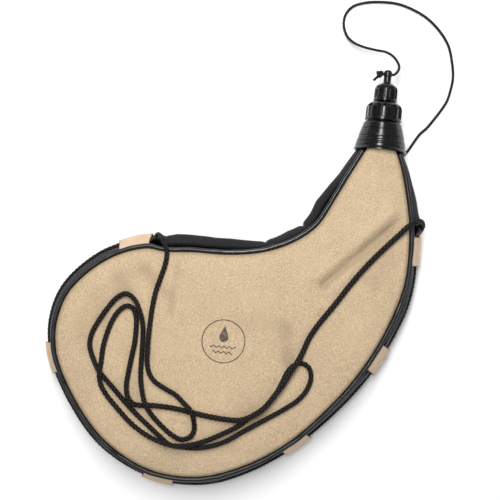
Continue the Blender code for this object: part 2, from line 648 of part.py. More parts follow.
def slack_points():
    """The carry cord's free stretch, its height read as a lift over the front panel."""
    span = np.array([EDGE_CORD_SPAN[0], EDGE_CORD_SPAN[1]])
    ways = np.array([-1.0, 1.0]) / WAY_LENGTH
    near, far = span + ways * GAP, span + ways * SLACK_LEAD
    ends = np.concatenate([near, far])
    first, last, after_first, before_last = edge_points(ends, edge_cord_offset(ends), EDGE_CORD_Z)
    rise = np.concatenate([[first, after_first], SLACK_RISE])
    fall = np.concatenate([SLACK_FALL, [before_last, last]])
    lay = np.array(SLACK_LAY) * (1.0, 1.0, 2 * CORD_RADIUS)
    for part in (rise, fall):
        part[:, 2] -= resting_height(part[:, :2])
    places = np.concatenate([rise, lay, fall])
    route = smooth_route(places, steps_between(places, CORD_SPACING, BEND_DEGREES))
    route[:, 2] += resting_height(route[:, :2])
    return route


def make_slack(group):
    """The carry cord's free stretch on the front panel."""
    add_tube(group, "carry_cord_slack", slack_points(), CORD_RADIUS, BRAID_BLACK)


def make_tether(group):
    """The thin cord from the small cap's knob to the collar's foot."""
    knob = np.array([NECK_X + TETHER_SWEEP_RADIUS + GAP, RIM_Y + HOLE_Y, NECK_Z])
    foot = np.array([NECK_X, RIM_Y, 0.0])
    route = np.concatenate([[knob], knob + TETHER_START, TETHER_LAY, foot + TETHER_END])
    add_tube(group, "tether_cord", smooth_route(route, steps_between(route, TETHER_SPACING, BEND_DEGREES)), TETHER_RADIUS, BRAID_BLACK)


def shoulder(radius, top, width, height):
    """The rounded shoulder of a cap, from its flat top out and down to its side."""
    return [(radius - width + width * out, top - height + height * up) for out, up in SHOULDER_SHARES]


def collar_side():
    """The collar's outer side, down its cone, over a groove and the ring steps."""
    shoulder_foot = COLLAR_HEIGHT - COLLAR_SHOULDER
    slope = (COLLAR_BASE_RADIUS - COLLAR_TOP_RADIUS) / shoulder_foot

    def cone(height):
        """Radius of the plain cone at a height."""
        return COLLAR_TOP_RADIUS + slope * (shoulder_foot - height)

    side = []
    groove = COLLAR_HEIGHT * COLLAR_GROOVE_SHARE
    half = COLLAR_HEIGHT * COLLAR_GROOVE_WIDTH_SHARE
    side += [(cone(groove + half), groove + half), (cone(groove) - RING_STEP, groove)]
    side += [(cone(groove - half), groove - half)]
    for share in COLLAR_STEP_SHARES:
        height = COLLAR_HEIGHT * share
        side += [(cone(height) - RING_STEP, height + half / 2), (cone(height), height - half / 2)]
    side.append((COLLAR_BASE_RADIUS, 0.0))
    return side


def make_collar(group, neck):
    """The conical collar that holds the bag's neck."""
    ceiling = COLLAR_HEIGHT - COLLAR_CEILING
    hole = FERRULE_TUBE_RADIUS + GAP
    profile = shoulder(COLLAR_TOP_RADIUS, COLLAR_HEIGHT, COLLAR_SHOULDER, COLLAR_SHOULDER)
    profile += collar_side()
    profile += [(COLLAR_BASE_RADIUS - COLLAR_WALL, 0.0), (COLLAR_TOP_RADIUS - COLLAR_WALL, ceiling)]
    profile += [(hole, ceiling), (hole, COLLAR_HEIGHT)]
    add_turned(group, "collar", profile, TURN_STEPS, BAKELITE, neck)


def make_ferrule(group, neck):
    """The insert in the neck: a skirt inside the bag, a flange under the collar and the mouth's tube."""
    flange_top = COLLAR_HEIGHT - COLLAR_CEILING - GAP
    flange_foot = flange_top - FERRULE_FLANGE_HEIGHT
    skirt_bore = FERRULE_SKIRT_RADIUS - FERRULE_SKIRT_WALL
    profile = [
        (FERRULE_TUBE_RADIUS, FERRULE_TOP),
        (FERRULE_TUBE_RADIUS, flange_top),
        (FERRULE_FLANGE_RADIUS, flange_top),
        (FERRULE_FLANGE_RADIUS, flange_foot),
        (FERRULE_WAIST_RADIUS, flange_foot),
        (FERRULE_WAIST_RADIUS, flange_foot - FERRULE_WAIST_HEIGHT),
        (FERRULE_SKIRT_RADIUS, FERRULE_SKIRT_TOP),
        (FERRULE_SKIRT_RADIUS, -FERRULE_SKIRT_DROP),
        (skirt_bore, -FERRULE_SKIRT_DROP),
        (skirt_bore, FERRULE_SKIRT_TOP - FERRULE_SKIRT_WALL),
        (FERRULE_BORE_RADIUS, FERRULE_SKIRT_TOP - FERRULE_SKIRT_WALL + FERRULE_CONE_HEIGHT),
        (FERRULE_BORE_RADIUS, FERRULE_TOP),
    ]
    add_turned(group, "ferrule", profile, TURN_STEPS, BAKELITE, neck)


def cut_flutes(item, cutters, neck, count, radius, depth, rim, foot, top):
    """Cut arched flutes round a cap with round-ended rods stood in its side."""
    around = np.arange(FLUTE_STEPS) * math.tau / FLUTE_STEPS
    middle = rim + radius - depth
    points = []
    faces = []
    for number in range(count):
        turn = math.tau * number / count
        for lift, share in FLUTE_TIP_SHARES:
            height = foot + (top - foot - radius) * min(lift, 1.0) + radius * max(lift - 1.0, 0.0)
            x = middle + radius * share * np.cos(around)
            y = radius * share * np.sin(around)
            points.append(np.column_stack([
                x * math.cos(turn) - y * math.sin(turn),
                x * math.sin(turn) + y * math.cos(turn),
                np.full(FLUTE_STEPS, height),
            ]))
        ring = np.arange(FLUTE_STEPS) + number * len(FLUTE_TIP_SHARES) * FLUTE_STEPS
        faces.append(ring[::-1].tolist())
        for _ in range(len(FLUTE_TIP_SHARES) - 1):
            above = ring + FLUTE_STEPS
            faces += np.column_stack([ring, np.roll(ring, -1), np.roll(above, -1), above]).tolist()
            ring = above
        faces.append(ring.tolist())
    mesh = bpy.data.meshes.new(item.name + "_flutes")
    mesh.from_pydata(np.concatenate(points).tolist(), [], faces)
    add_cutter(item, cutters, mesh, neck)


def add_cutter(item, cutters, mesh, parent):
    """Cut a mesh out of a sub-part; the cutter is left out of the model."""
    tool = bpy.data.objects.new(mesh.name + "_cutter", mesh)
    cutters.objects.link(tool)
    tool.parent = parent
    tool.hide_render = True
    tool.display_type = "WIRE"
    cut = item.modifiers.new("Cut", "BOOLEAN")
    cut.operation = "DIFFERENCE"
    cut.solver = "EXACT"
    cut.object = tool


def make_filler_cap(group, cutters, neck):
    """The wide screw cap with the drinking spout, and its ring seal."""
    seal_outer = FERRULE_TUBE_RADIUS
    seal_foot = FERRULE_TOP + GAP
    seal_top = seal_foot + SEAL_THICKNESS
    seal_inner = seal_outer - SEAL_WIDTH
    ring = [(seal_outer, seal_top), (seal_outer, seal_foot), (seal_inner, seal_foot), (seal_inner, seal_top)]
    add_turned(group, "filler_seal", ring, FINE_TURN_STEPS, SEAL_RUBBER, neck)

    bore = FERRULE_TUBE_RADIUS + GAP
    profile = [
        (SPOUT_TIP_RADIUS - SPOUT_TIP_ROUND, SPOUT_TOP),
        (SPOUT_TIP_RADIUS, SPOUT_TOP - SPOUT_TIP_ROUND),
        (SPOUT_RADIUS, SPOUT_TOP - SPOUT_TAPER_HEIGHT),
        (SPOUT_RADIUS, FILLER_TOP),
    ]
    profile += shoulder(FILLER_RADIUS, FILLER_TOP, FILLER_SHOULDER_WIDTH, FILLER_SHOULDER_HEIGHT)
    profile += [
        (FILLER_RADIUS + FILLER_FLARE, FILLER_FOOT),
        (bore, FILLER_FOOT),
        (bore, FILLER_CEILING),
        (JET_RADIUS, FILLER_CEILING),
        (JET_RADIUS, SPOUT_TOP),
    ]
    cap = add_turned(group, "filler_cap", profile, TURN_STEPS, BAKELITE, neck)
    foot = FILLER_FOOT + FILLER_FLUTE_FOOT
    top = FILLER_TOP - FILLER_SHOULDER_HEIGHT / 2
    cut_flutes(
        cap, cutters, neck, FILLER_FLUTES, FILLER_FLUTE_RADIUS, FILLER_FLUTE_DEPTH, FILLER_RADIUS, foot, top,
    )


def make_small_cap(group, cutters, neck):
    """The narrow screw cap with the knob that the tether is tied through, and its disc seal."""
    seal_radius = SPOUT_TIP_RADIUS + GAP
    seal_foot = SPOUT_TOP + GAP
    seal_top = seal_foot + SEAL_THICKNESS
    disc = [(0.0, seal_top), (seal_radius, seal_top), (seal_radius, seal_foot), (0.0, seal_foot)]
    add_turned(group, "small_seal", disc, FINE_TURN_STEPS, SEAL_RUBBER, neck)

    bore = SPOUT_RADIUS + GAP
    profile = [(0.0, KNOB_TOP)]
    profile += [(KNOB_RADIUS * out, SMALL_TOP + KNOB_HEIGHT * up) for out, up in KNOB_TOP_SHARES]
    profile += [(KNOB_WAIST_RADIUS * out, SMALL_TOP + KNOB_HEIGHT * up) for out, up in KNOB_FOOT_SHARES]
    profile += shoulder(SMALL_RADIUS, SMALL_TOP, SMALL_SHOULDER_WIDTH, SMALL_SHOULDER_HEIGHT)
    profile += [
        (SMALL_RADIUS + SMALL_FLARE, SMALL_FOOT),
        (bore, SMALL_FOOT),
        (bore, SMALL_CEILING),
        (0.0, SMALL_CEILING),
    ]
    cap = add_turned(group, "small_cap", profile, TURN_STEPS, BAKELITE, neck)
    foot = SMALL_FOOT + SMALL_FLUTE_FOOT
    top = SMALL_TOP - SMALL_SHOULDER_HEIGHT / 2
    cut_flutes(
        cap, cutters, neck, SMALL_FLUTES, SMALL_FLUTE_RADIUS, SMALL_FLUTE_DEPTH, SMALL_RADIUS, foot, top,
    )
    hole = bmesh.new()
    made = bmesh.ops.create_cone(
        hole, cap_ends=True, segments=FLUTE_STEPS,
        radius1=TETHER_RADIUS + GAP, radius2=TETHER_RADIUS + GAP, depth=4 * KNOB_RADIUS,
    )
    for vert in made["verts"]:
        vert.co = (vert.co.z, vert.co.y, vert.co.x + HOLE_Y)
    bmesh.ops.recalc_face_normals(hole, faces=hole.faces)
    mesh = bpy.data.meshes.new("knob_hole")
    hole.to_mesh(mesh)
    hole.free()
    add_cutter(cap, cutters, mesh, neck)


def make_tether_knot(group, neck):
    """The tether's end: through the knob's hole, a knot outside it and a short tail."""
    knot = KNOB_RADIUS + GAP + TETHER_KNOT_RADIUS
    swell_share = TETHER_KNOT_RADIUS / TETHER_RADIUS
    tail_x = TETHER_SWEEP_RADIUS - TETHER_RADIUS
    steps = (
        (TETHER_SWEEP_RADIUS, 0.0, 1.0),
        (-KNOB_RADIUS - GAP, 0.0, 1.0),
        (-knot + TETHER_KNOT_RADIUS * 0.7, 0.0, swell_share * 0.75),
        (-knot, 0.0, swell_share),
        (-knot - TETHER_KNOT_RADIUS * 0.6, -TETHER_RADIUS, swell_share * 0.8),
        (-tail_x, -TETHER_KNOT_RADIUS, 1.0),
        (-tail_x, -TETHER_TAIL_LENGTH, 1.0),
    )
    points = [(x, 0.0, HOLE_Y + y) for x, y, _ in steps]
    shares = [share for _, _, share in steps]
    add_tube(group, "tether_knot", points, TETHER_RADIUS, BRAID_BLACK, shares, neck)


def build():
    """Make the whole bag."""
    clear_scene()
    group = new_collection("bota_bag")
    cutters = new_collection("cutters")
    neck = bpy.data.objects.new("neck_axis", None)
    neck.location = (NECK_X, RIM_Y, NECK_Z)
    neck.rotation_euler = (-math.pi / 2, 0.0, 0.0)
    group.objects.link(neck)
    make_panels(group)
    make_pipings(group)
    make_gusset(group)
    make_bladder(group)
    make_edge_cord(group)
    make_loops(group)
    make_slack(group)
    make_collar(group, neck)
    make_ferrule(group, neck)
    make_filler_cap(group, cutters, neck)
    make_small_cap(group, cutters, neck)
    make_tether_knot(group, neck)
    make_tether(group)


build()
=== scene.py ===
"""Dressed model of a leather bota bag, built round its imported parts.

Metres, in the parts' own frame: +Z up off the floor, +Y along the neck. Every new shape is worked
out as whole arrays over two parameters and put into its mesh in one go.
"""
import math

import bmesh
import bpy
import numpy as np
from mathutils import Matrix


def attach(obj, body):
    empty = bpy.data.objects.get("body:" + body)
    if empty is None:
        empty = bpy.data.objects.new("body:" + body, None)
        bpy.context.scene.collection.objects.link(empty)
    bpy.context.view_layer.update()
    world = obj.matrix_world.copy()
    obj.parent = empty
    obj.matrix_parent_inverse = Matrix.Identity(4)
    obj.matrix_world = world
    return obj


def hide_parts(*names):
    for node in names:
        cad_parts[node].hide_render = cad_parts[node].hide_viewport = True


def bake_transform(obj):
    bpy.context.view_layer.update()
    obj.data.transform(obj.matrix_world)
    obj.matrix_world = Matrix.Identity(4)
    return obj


bl_info = {
    "name": "Leather Bota Bag",
    "version": (1, 0, 0),
    "blender": (4, 5, 0),
    "location": "3D View > Sidebar > Bota Bag",
    "description": "Dresses the packed parts of a leather bota bag",
    "category": "Add Mesh",
}

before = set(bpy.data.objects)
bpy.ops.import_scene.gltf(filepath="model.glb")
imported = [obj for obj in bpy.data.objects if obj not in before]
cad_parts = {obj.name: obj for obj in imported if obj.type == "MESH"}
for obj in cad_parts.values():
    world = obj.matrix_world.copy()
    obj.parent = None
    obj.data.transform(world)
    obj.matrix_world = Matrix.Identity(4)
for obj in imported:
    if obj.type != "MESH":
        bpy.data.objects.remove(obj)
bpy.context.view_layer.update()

# The skin
PANEL_SIZE = np.array([0.274, 0.276])
PANEL_THICKNESS = 0.002
CROWN = 0.0068
CROWN_REACH = 0.015
BACK_SINK_SHARE = 1.06
GAP = 0.0003
NECK = np.array([0.10949, 0.16505, 0.0220])
NECK_HALF_WIDTH = 0.0116
TUCK_HALF_WIDTH = 0.0100
TUCK_LENGTH = 0.004
FRONT_SEAM_Z = 0.0352
BACK_SEAM_Z = 0.0088
PIPING_RADIUS = 0.0019
PIPING_START = 0.0013
SEAM_OFFSET = 0.0022
GUSSET_TOP_Z = 0.0330
GUSSET_FOOT_Z = 0.0110
GUSSET_THICKNESS = 0.0014
GUSSET_BULGE = 0.0120
GUSSET_SWELL = 0.0046
BLADDER_WALL = 0.0008
BLADDER_DROP = 0.0048

# Cord, loops and tether
CORD_RADIUS = 0.0023
EDGE_CORD_Z = 0.0160
SLACK_LEAD = 0.0015
SLACK_GAP = 0.0006
LOOP_LENGTH = 0.023
LOOP_THICKNESS = 0.0012
BRAID_SPACING = 0.00095
BRAID_CORE_RADIUS = 0.00090
PLY_MIDDLE = 0.00060
PLY_RADIUS = 0.00063
KNOT_SIZE = 0.00080
KNOT_ROOM = 0.0028
# Fullness of the free cord: at its start, what it gains, and the way along it over which it does
SLACK_FULLNESS = 1.02
SLACK_FULLNESS_GAIN = 0.11
SLACK_FULLNESS_WAY = (0.96, 1.12)

# Mouthpiece: radii, and heights over the collar's foot
COLLAR_HEIGHT = 0.0236
COLLAR_BASE_RADIUS = 0.0217
COLLAR_TOP_RADIUS = 0.0156
COLLAR_WALL = 0.0018
COLLAR_CEILING = 0.0022
COLLAR_SHOULDER = 0.0024
COLLAR_SHOULDER_WIDTH = 0.0031
BORE_RADIUS = 0.008
TUBE_RADIUS = 0.0102
FERRULE_TOP = 0.0360
FLANGE_RADIUS = 0.0134
WAIST_RADIUS = 0.0112
SKIRT_RADIUS = 0.0142
SKIRT_WALL = 0.0017
FILLER_FOOT = 0.0246
FILLER_TOP = 0.0403
FILLER_RADIUS = 0.0146
FILLER_SHOULDER_WIDTH = 0.0084
FILLER_SHOULDER_HEIGHT = 0.0064
FILLER_CEILING = 0.0376
SPOUT_TOP = 0.0514
SPOUT_RADIUS = 0.0055
SPOUT_TIP_RADIUS = 0.0045
JET_RADIUS = 0.0015
SMALL_FOOT = 0.0407
SMALL_TOP = 0.0550
SMALL_RADIUS = 0.0093
SMALL_SHOULDER_WIDTH = 0.0064
SMALL_SHOULDER_HEIGHT = 0.0056
SMALL_CEILING = 0.0530
CAP_FLARE = 0.0003
KNOB_TOP = 0.0664
KNOB_RADIUS = 0.00345
HOLE_Y = 0.0626
FILLER_PITCH = 0.003
SMALL_PITCH = 0.002

# Stage: the place under the camera, and the camera's angle of view and turn in degrees
STAGE_MIDDLE = np.array([0.01326, 0.07427, 0.0])
CAMERA_ANGLE = 26.04
CAMERA_TURN = 6.1
FLOOR_HALF_WIDTH = 3.0

# Edge of the panels as shares of their size, each line a pair of points across the bag
HOLLOW_SIDE_SHARES = (
    (0.320, 0.522), (0.284, 0.447), (0.238, 0.359), (0.171, 0.303), (0.087, 0.266),
    (-0.014, 0.248), (-0.107, 0.245), (-0.195, 0.238), (-0.254, 0.241), (-0.333, 0.214),
    (-0.409, 0.159), (-0.466, 0.087), (-0.489, 0.005), (-0.487, -0.058),
)
FULL_SIDE_SHARES = (
    (0.463, 0.546), (0.482, 0.481), (0.499, 0.410), (0.508, 0.332), (0.506, 0.216),
    (0.472, 0.093), (0.410, -0.039), (0.326, -0.159), (0.218, -0.274), (0.092, -0.357),
    (-0.038, -0.401), (-0.180, -0.393), (-0.316, -0.322), (-0.413, -0.214),
)
FAR_END_SHARES = (-0.473, -0.109)
OUTLINE_STEPS = 16

# How far the gusset puffs out, as (share of the way round, share of the bulge)
GUSSET_BULGE_SHARES = (
    (0.0, 0.35), (0.01, 0.40), (0.0353, 0.50), (0.0479, 0.64), (0.0706, 0.86), (0.094, 0.72),
    (0.103, 0.58), (0.118, 0.70), (0.134, 0.62), (0.146, 0.56), (0.161, 0.78), (0.18, 0.95),
    (0.206, 1.0), (0.23, 1.06), (0.2394, 0.95), (0.2489, 0.58), (0.2583, 0.42), (0.282, 0.34),
    (0.30, 0.42), (0.36, 0.45), (0.39, 0.36), (0.43, 0.36), (0.50, 0.42), (0.54, 0.36),
    (0.57, 0.44), (0.61, 0.48), (0.66, 0.36), (0.70, 0.36), (0.78, 0.55), (0.85, 0.60),
    (0.885, 0.44), (0.915, 0.46), (0.93, 0.68), (0.9456, 0.65), (0.964, 0.54), (0.989, 0.40),
    (1.0, 0.35),
)
# Creases pressed into the gusset: (share of the way round, lean over the section, width, depth)
GUSSET_CREASES = (
    (0.1015, 0.006, 0.0016, 0.0024), (0.1440, 0.010, 0.0020, 0.0022), (0.1950, -0.012, 0.0050, 0.0005),
)
# Swells of the gusset beside the free cord's ends: (share of the way round, width, height in swells)
GUSSET_SWELLS = ((0.2512, 0.0062, 1.0), (0.9225, 0.0065, 1.1))
LOOP_PLACE_SHARES = (0.2687, 0.4065, 0.5555, 0.6877, 0.7953, 0.9008)
# How far each loop leans along the edge between its two seams
LOOP_LEANS = (0.0010, -0.0006, 0.0012, -0.0008, 0.0022, -0.0004)

# Folds of the front panel: (x, y) to (x, y), width, rise
FOLDS = (
    (0.0740, 0.0530, 0.1300, 0.1110, 0.0038, -0.0030),
    (0.0680, 0.0580, 0.1230, 0.1160, 0.0054, 0.0026),
    (0.0755, 0.0510, 0.0765, 0.0420, 0.0036, -0.0008),
    (-0.0726, 0.0555, -0.0502, 0.0332, 0.0060, -0.0010),
    (-0.0420, 0.0560, -0.0440, 0.0180, 0.0050, -0.0014),
    (-0.0350, 0.0540, -0.0360, 0.0200, 0.0055, 0.0008),
    (0.0480, 0.0150, 0.0560, -0.0200, 0.0070, -0.0012),
    (-0.0900, 0.0420, -0.0800, 0.0300, 0.0070, -0.0010),
)

# The carry cord's slack: out of the first loop and over the seam,
SLACK_RISE = (
    (-0.0630, 0.0786, 0.0196), (-0.0602, 0.0780, 0.0277), (-0.0558, 0.0741, 0.0385),
)
# on the panel, where the third value is the lift at a crossing in cord widths,
SLACK_LAY = (
    (-0.0522, 0.0649, 0.35), (-0.0525, 0.0558, 0.12), (-0.0547, 0.0455, 0.0), (-0.0572, 0.0353, 0.0),
    (-0.0586, 0.0233, 0.0), (-0.0592, 0.0109, 0.0), (-0.0592, -0.0017, 0.35), (-0.0588, -0.0135, 0.42),
    (-0.0582, -0.0226, 0.25), (-0.0558, -0.0307, 0.05), (-0.0512, -0.0366, 0.0), (-0.0424, -0.0417, 0.0),
    (-0.0333, -0.0459, 0.0), (-0.0260, -0.0514, 0.35), (-0.0194, -0.0568, 1.2), (-0.0165, -0.0650, 0.45),
    (-0.0157, -0.0723, 0.0), (-0.0183, -0.0779, 0.0), (-0.0247, -0.0806, 0.0), (-0.0321, -0.0781, 0.0),
    (-0.0420, -0.0711, 0.0), (-0.0504, -0.0632, 0.35), (-0.0559, -0.0552, 1.15), (-0.0593, -0.0472, 0.3),
    (-0.0618, -0.0370, 0.0), (-0.0628, -0.0260, 0.0), (-0.0632, -0.0141, 0.0), (-0.0637, -0.0023, 0.0),
    (-0.0650, 0.0080, 0.25), (-0.0680, 0.0173, 0.85), (-0.0723, 0.0247, 0.45), (-0.0770, 0.0284, 0.05),
    (-0.0816, 0.0294, 0.0), (-0.0877, 0.0255, 0.0), (-0.0941, 0.0166, 0.0), (-0.1000, 0.0059, 0.0),
    (-0.1045, -0.0053, 0.0), (-0.1049, -0.0147, 0.0), (-0.1002, -0.0250, 0.55), (-0.0951, -0.0325, 1.12),
    (-0.0890, -0.0394, 0.55), (-0.0814, -0.0471, 0.1), (-0.0730, -0.0552, 0.06), (-0.0623, -0.0644, 0.1),
    (-0.0506, -0.0734, 0.02), (-0.0415, -0.0803, 0.0), (-0.0330, -0.0860, 0.0), (-0.0236, -0.0866, 0.0),
    (-0.0125, -0.0863, 0.0), (-0.0009, -0.0835, 0.0), (0.0105, -0.0783, 0.0), (0.0219, -0.0702, 0.0),
    (0.0373, -0.0595, 0.0), (0.0536, -0.0481, 0.0), (0.0636, -0.0399, 0.0), (0.0697, -0.0310, 0.0),
    (0.0720, -0.0209, 0.0), (0.0693, -0.0132, 0.0), (0.0633, -0.0106, 0.0), (0.0570, -0.0133, 0.0),
    (0.0529, -0.0188, 0.0), (0.0491, -0.0286, 0.0), (0.0446, -0.0386, 0.0), (0.0377, -0.0487, 0.0),
    (0.0281, -0.0569, 0.0), (0.0187, -0.0654, 0.0), (0.0068, -0.0730, 0.0), (-0.0054, -0.0795, 0.1),
    (-0.0151, -0.0828, 0.85), (-0.0243, -0.0849, 1.12), (-0.0338, -0.0849, 1.12), (-0.0436, -0.0827, 0.86),
    (-0.0533, -0.0797, 0.1), (-0.0656, -0.0724, 0.0), (-0.0779, -0.0616, 0.0), (-0.0874, -0.0521, 0.0),
    (-0.0930, -0.0442, 0.0), (-0.0950, -0.0359, 0.02), (-0.0945, -0.0263, 0.0), (-0.0943, -0.0160, 0.0),
    (-0.0925, -0.0040, 0.0), (-0.0890, 0.0079, 0.0), (-0.0845, 0.0159, 0.0), (-0.0794, 0.0199, 0.0),
    (-0.0747, 0.0193, 0.0), (-0.0711, 0.0136, 0.0), (-0.0696, -0.0066, 0.0), (-0.0710, -0.0200, 0.0),
    (-0.0722, -0.0324, 0.0), (-0.0727, -0.0430, 0.0), (-0.0704, -0.0510, 0.95), (-0.0664, -0.0558, 0.6),
    (-0.0609, -0.0572, 0.0), (-0.0515, -0.0563, 0.0), (-0.0363, -0.0563, 0.0), (-0.0203, -0.0582, 0.0),
    (-0.0057, -0.0601, 0.0), (0.0087, -0.0611, 0.02), (0.0193, -0.0601, 0.7), (0.0283, -0.0558, 1.24),
    (0.0376, -0.0480, 1.1), (0.0445, -0.0378, 1.1), (0.0503, -0.0282, 1.05), (0.0550, -0.0185, 0.95),
    (0.0595, -0.0097, 1.1), (0.0630, -0.0021, 0.3), (0.0674, 0.0104, 0.02), (0.0732, 0.0212, 0.0),
    (0.0843, 0.0381, 0.0), (0.0966, 0.0576, 0.0), (0.1092, 0.0749, 0.0), (0.1223, 0.0904, 0.0),
    (0.1307, 0.0998, 0.12), (0.1361, 0.1059, 0.3),
)
# and over the other seam to the last loop.
SLACK_FALL = (
    (0.1406, 0.1092, 0.0418), (0.1457, 0.1114, 0.0362), (0.1496, 0.1093, 0.0276), (0.1498, 0.1053, 0.0200),
)

# The tether: beside the knob, on the floor and up to the collar's foot
TETHER_OUT = (
    (0.0039, 0.0, 0.0), (0.0060, 0.0014, -0.0003), (0.0080, 0.0042, -0.0014), (0.0088, 0.0078, -0.0034),
    (0.0074, 0.0122, -0.0062), (0.0034, 0.0172, -0.0092), (-0.0022, 0.0202, -0.0108),
)
TETHER_LAY = (
    (0.0990, 0.2490, 0.0095), (0.0888, 0.2509, 0.0074), (0.0804, 0.2541, 0.0050), (0.0747, 0.2591, 0.0028),
    (0.0716, 0.2655, 0.0015), (0.0706, 0.2715, 0.0013), (0.0718, 0.2781, 0.0013), (0.0768, 0.2846, 0.0013),
    (0.0862, 0.2887, 0.0013), (0.0973, 0.2906, 0.0013), (0.1120, 0.2909, 0.0013), (0.1236, 0.2884, 0.0013),
    (0.1383, 0.2820, 0.0013), (0.1507, 0.2719, 0.0013), (0.1591, 0.2608, 0.0013), (0.1637, 0.2471, 0.0013),
    (0.1658, 0.2346, 0.0013), (0.1649, 0.2242, 0.0013), (0.1628, 0.2146, 0.0013), (0.1576, 0.2046, 0.0013),
    (0.1532, 0.1976, 0.0013), (0.1488, 0.1910, 0.0013), (0.1434, 0.1850, 0.0013), (0.1389, 0.1774, 0.0013),
    (0.1347, 0.1698, 0.0013), (0.1298, 0.1640, 0.0014),
)
TETHER_END = ((0.0172, -0.0030, 0.0030), (0.0154, -0.0034, 0.0058))
TETHER_SPLIT = np.array([0.1658, 0.2346, 0.0013])

# Angles of a shoulder's round, from its flat top to its side
SHOULDER_TURNS = np.linspace(0.0, math.pi / 2, 10)
# Beads of the collar: (middle height, half width)
COLLAR_BEADS = ((0.0098, 0.00115), (0.0077, 0.00085), (0.0062, 0.00055), (0.0041, 0.00145), (0.0012, 0.0012))
COLLAR_GROOVE_Y = 0.0172
COLLAR_SIDE = (
    (0.0, 0.0217), (0.0020, 0.0208), (0.0050, 0.0202), (0.0080, 0.0195), (0.0100, 0.01880), (0.0130, 0.01815),
    (0.0170, 0.01695), (0.0190, 0.01630), (0.0212, COLLAR_TOP_RADIUS),
)
KNOB_SHARES = (
    (0.0, 1.0), (0.45, 0.99), (0.80, 0.94), (1.0, 0.82), (1.0, 0.55), (0.885, 0.49), (0.885, 0.13),
    (1.0, 0.05), (1.4, 0.0),
)


# ---------------------------------------------------------------- arrays

def unit(vectors):
    """Each vector at length one."""
    return vectors / np.maximum(np.linalg.norm(vectors, axis=-1, keepdims=True), 1e-12)


def smoothstep(values, low, high):
    """0 below low, 1 above high, and a smooth cubic between them."""
    f = np.clip((values - low) / (high - low), 0.0, 1.0)
    return f * f * (3.0 - 2.0 * f)


def smooth_route(points, steps):
    """Hermite curve through the points, its slope at each the mean of the two chords weighted by
    the square roots of their lengths, read at a number of steps between each two."""
    p = np.asarray(points, dtype=float)
    chord = np.sqrt(np.linalg.norm(np.diff(p, axis=0), axis=1))
    slope = np.diff(p, axis=0) / chord[:, None]
    tangent = np.empty_like(p)
    tangent[0], tangent[-1] = slope[0], slope[-1]
    before, after = chord[:-1, None], chord[1:, None]
    tangent[1:-1] = (slope[:-1] * after + slope[1:] * before) / (before + after)
    steps = np.broadcast_to(steps, len(p) - 1)
    i = np.append(np.repeat(np.arange(len(p) - 1), steps), len(p) - 2)
    f = np.append(np.concatenate([np.arange(count) / count for count in steps]), 1.0)[:, None]
    h = chord[i][:, None]
    return (
        (2 * f**3 - 3 * f**2 + 1) * p[i] + (f**3 - 2 * f**2 + f) * h * tangent[i]
        + (3 * f**2 - 2 * f**3) * p[i + 1] + (f**3 - f**2) * h * tangent[i + 1]
    )


def way_along(points):
    """Length of the path up to each of its points."""
    return np.concatenate([[0.0], np.cumsum(np.linalg.norm(np.diff(points, axis=0), axis=1))])


def even_path(points, spacing):
    """The path read again at even steps of about the given spacing."""
    way = way_along(points)
    at = np.linspace(0.0, way[-1], int(round(way[-1] / spacing)) + 1)
    return np.column_stack([np.interp(at, way, column) for column in np.asarray(points).T])


def blurred(values, spacing, reach):
    """Values along an even path, averaged with a bell of the given reach."""
    half = int(3 * reach / spacing)
    bell = np.exp(-0.5 * (np.arange(-half, half + 1) * spacing / reach) ** 2)
    padded = np.pad(values, half, mode="edge")
    return np.convolve(padded, bell / bell.sum(), mode="valid")


def carried_frame(path):
    """Tangent, side and up along a path. Up starts from +Z square to the path, and the turn that it
    makes round the path from point to point is summed and taken out, so that nothing twists."""
    tangent = unit(np.gradient(path, axis=0))
    up = unit(np.array([0.0, 0.0, 1.0]) - tangent * tangent[:, 2:])
    side = np.cross(tangent, up)
    twist = np.cumsum(np.sum(np.gradient(up, axis=0) * side, axis=1))[:, None]
    return (
        tangent,
        side * np.cos(twist) + up * np.sin(twist),
        up * np.cos(twist) - side * np.sin(twist),
    )


def plane_waves(places, seed, count, shortest, longest):
    """Sum of sine waves over the plane, of seeded length, direction and phase, about -1 to 1."""
    draw = np.random.default_rng(seed)
    length = draw.uniform(shortest, longest, count)
    turn = draw.uniform(0.0, math.tau, count)
    phase = draw.uniform(0.0, math.tau, count)
    along = places[..., 0, None] * np.cos(turn) + places[..., 1, None] * np.sin(turn)
    return np.sum(np.sin(math.tau * along / length + phase), axis=-1) / math.sqrt(count)


def line_waves(way, seed, count, shortest, longest):
    """Sum of sine waves along a line, of seeded length and phase, about -1 to 1."""
    draw = np.random.default_rng(seed)
    length = draw.uniform(shortest, longest, count)
    phase = draw.uniform(0.0, math.tau, count)
    return np.sum(np.sin(math.tau * np.asarray(way)[..., None] / length + phase), axis=-1) / math.sqrt(count)


def from_segment(places, start, end):
    """Distance of each place from a straight stretch."""
    start, step = np.array(start), np.array(end) - np.array(start)
    reach = places - start
    share = np.clip(reach @ step / (step @ step), 0.0, 1.0)
    return np.linalg.norm(reach - share[..., None] * step, axis=-1)


# ---------------------------------------------------------------- meshes

def grid_faces(rows, columns, wrap_rows=False, wrap_columns=False):
    """Quads over a grid of points numbered row by row, and the grid lines of their corners."""
    i = np.arange(rows if wrap_rows else rows - 1)[:, None]
    j = np.arange(columns if wrap_columns else columns - 1)[None, :]
    lines = [(i, j), (i + 1, j), (i + 1, j + 1), (i, j + 1)]
    corner = [np.broadcast_arrays(a, b) for a, b in lines]
    quads = np.stack([(a % rows) * columns + b % columns for a, b in corner], axis=-1)
    corners = np.stack([np.stack([a, b], axis=-1) for a, b in corner], axis=-2)
    return quads.reshape(-1, 4), corners.reshape(-1, 2)


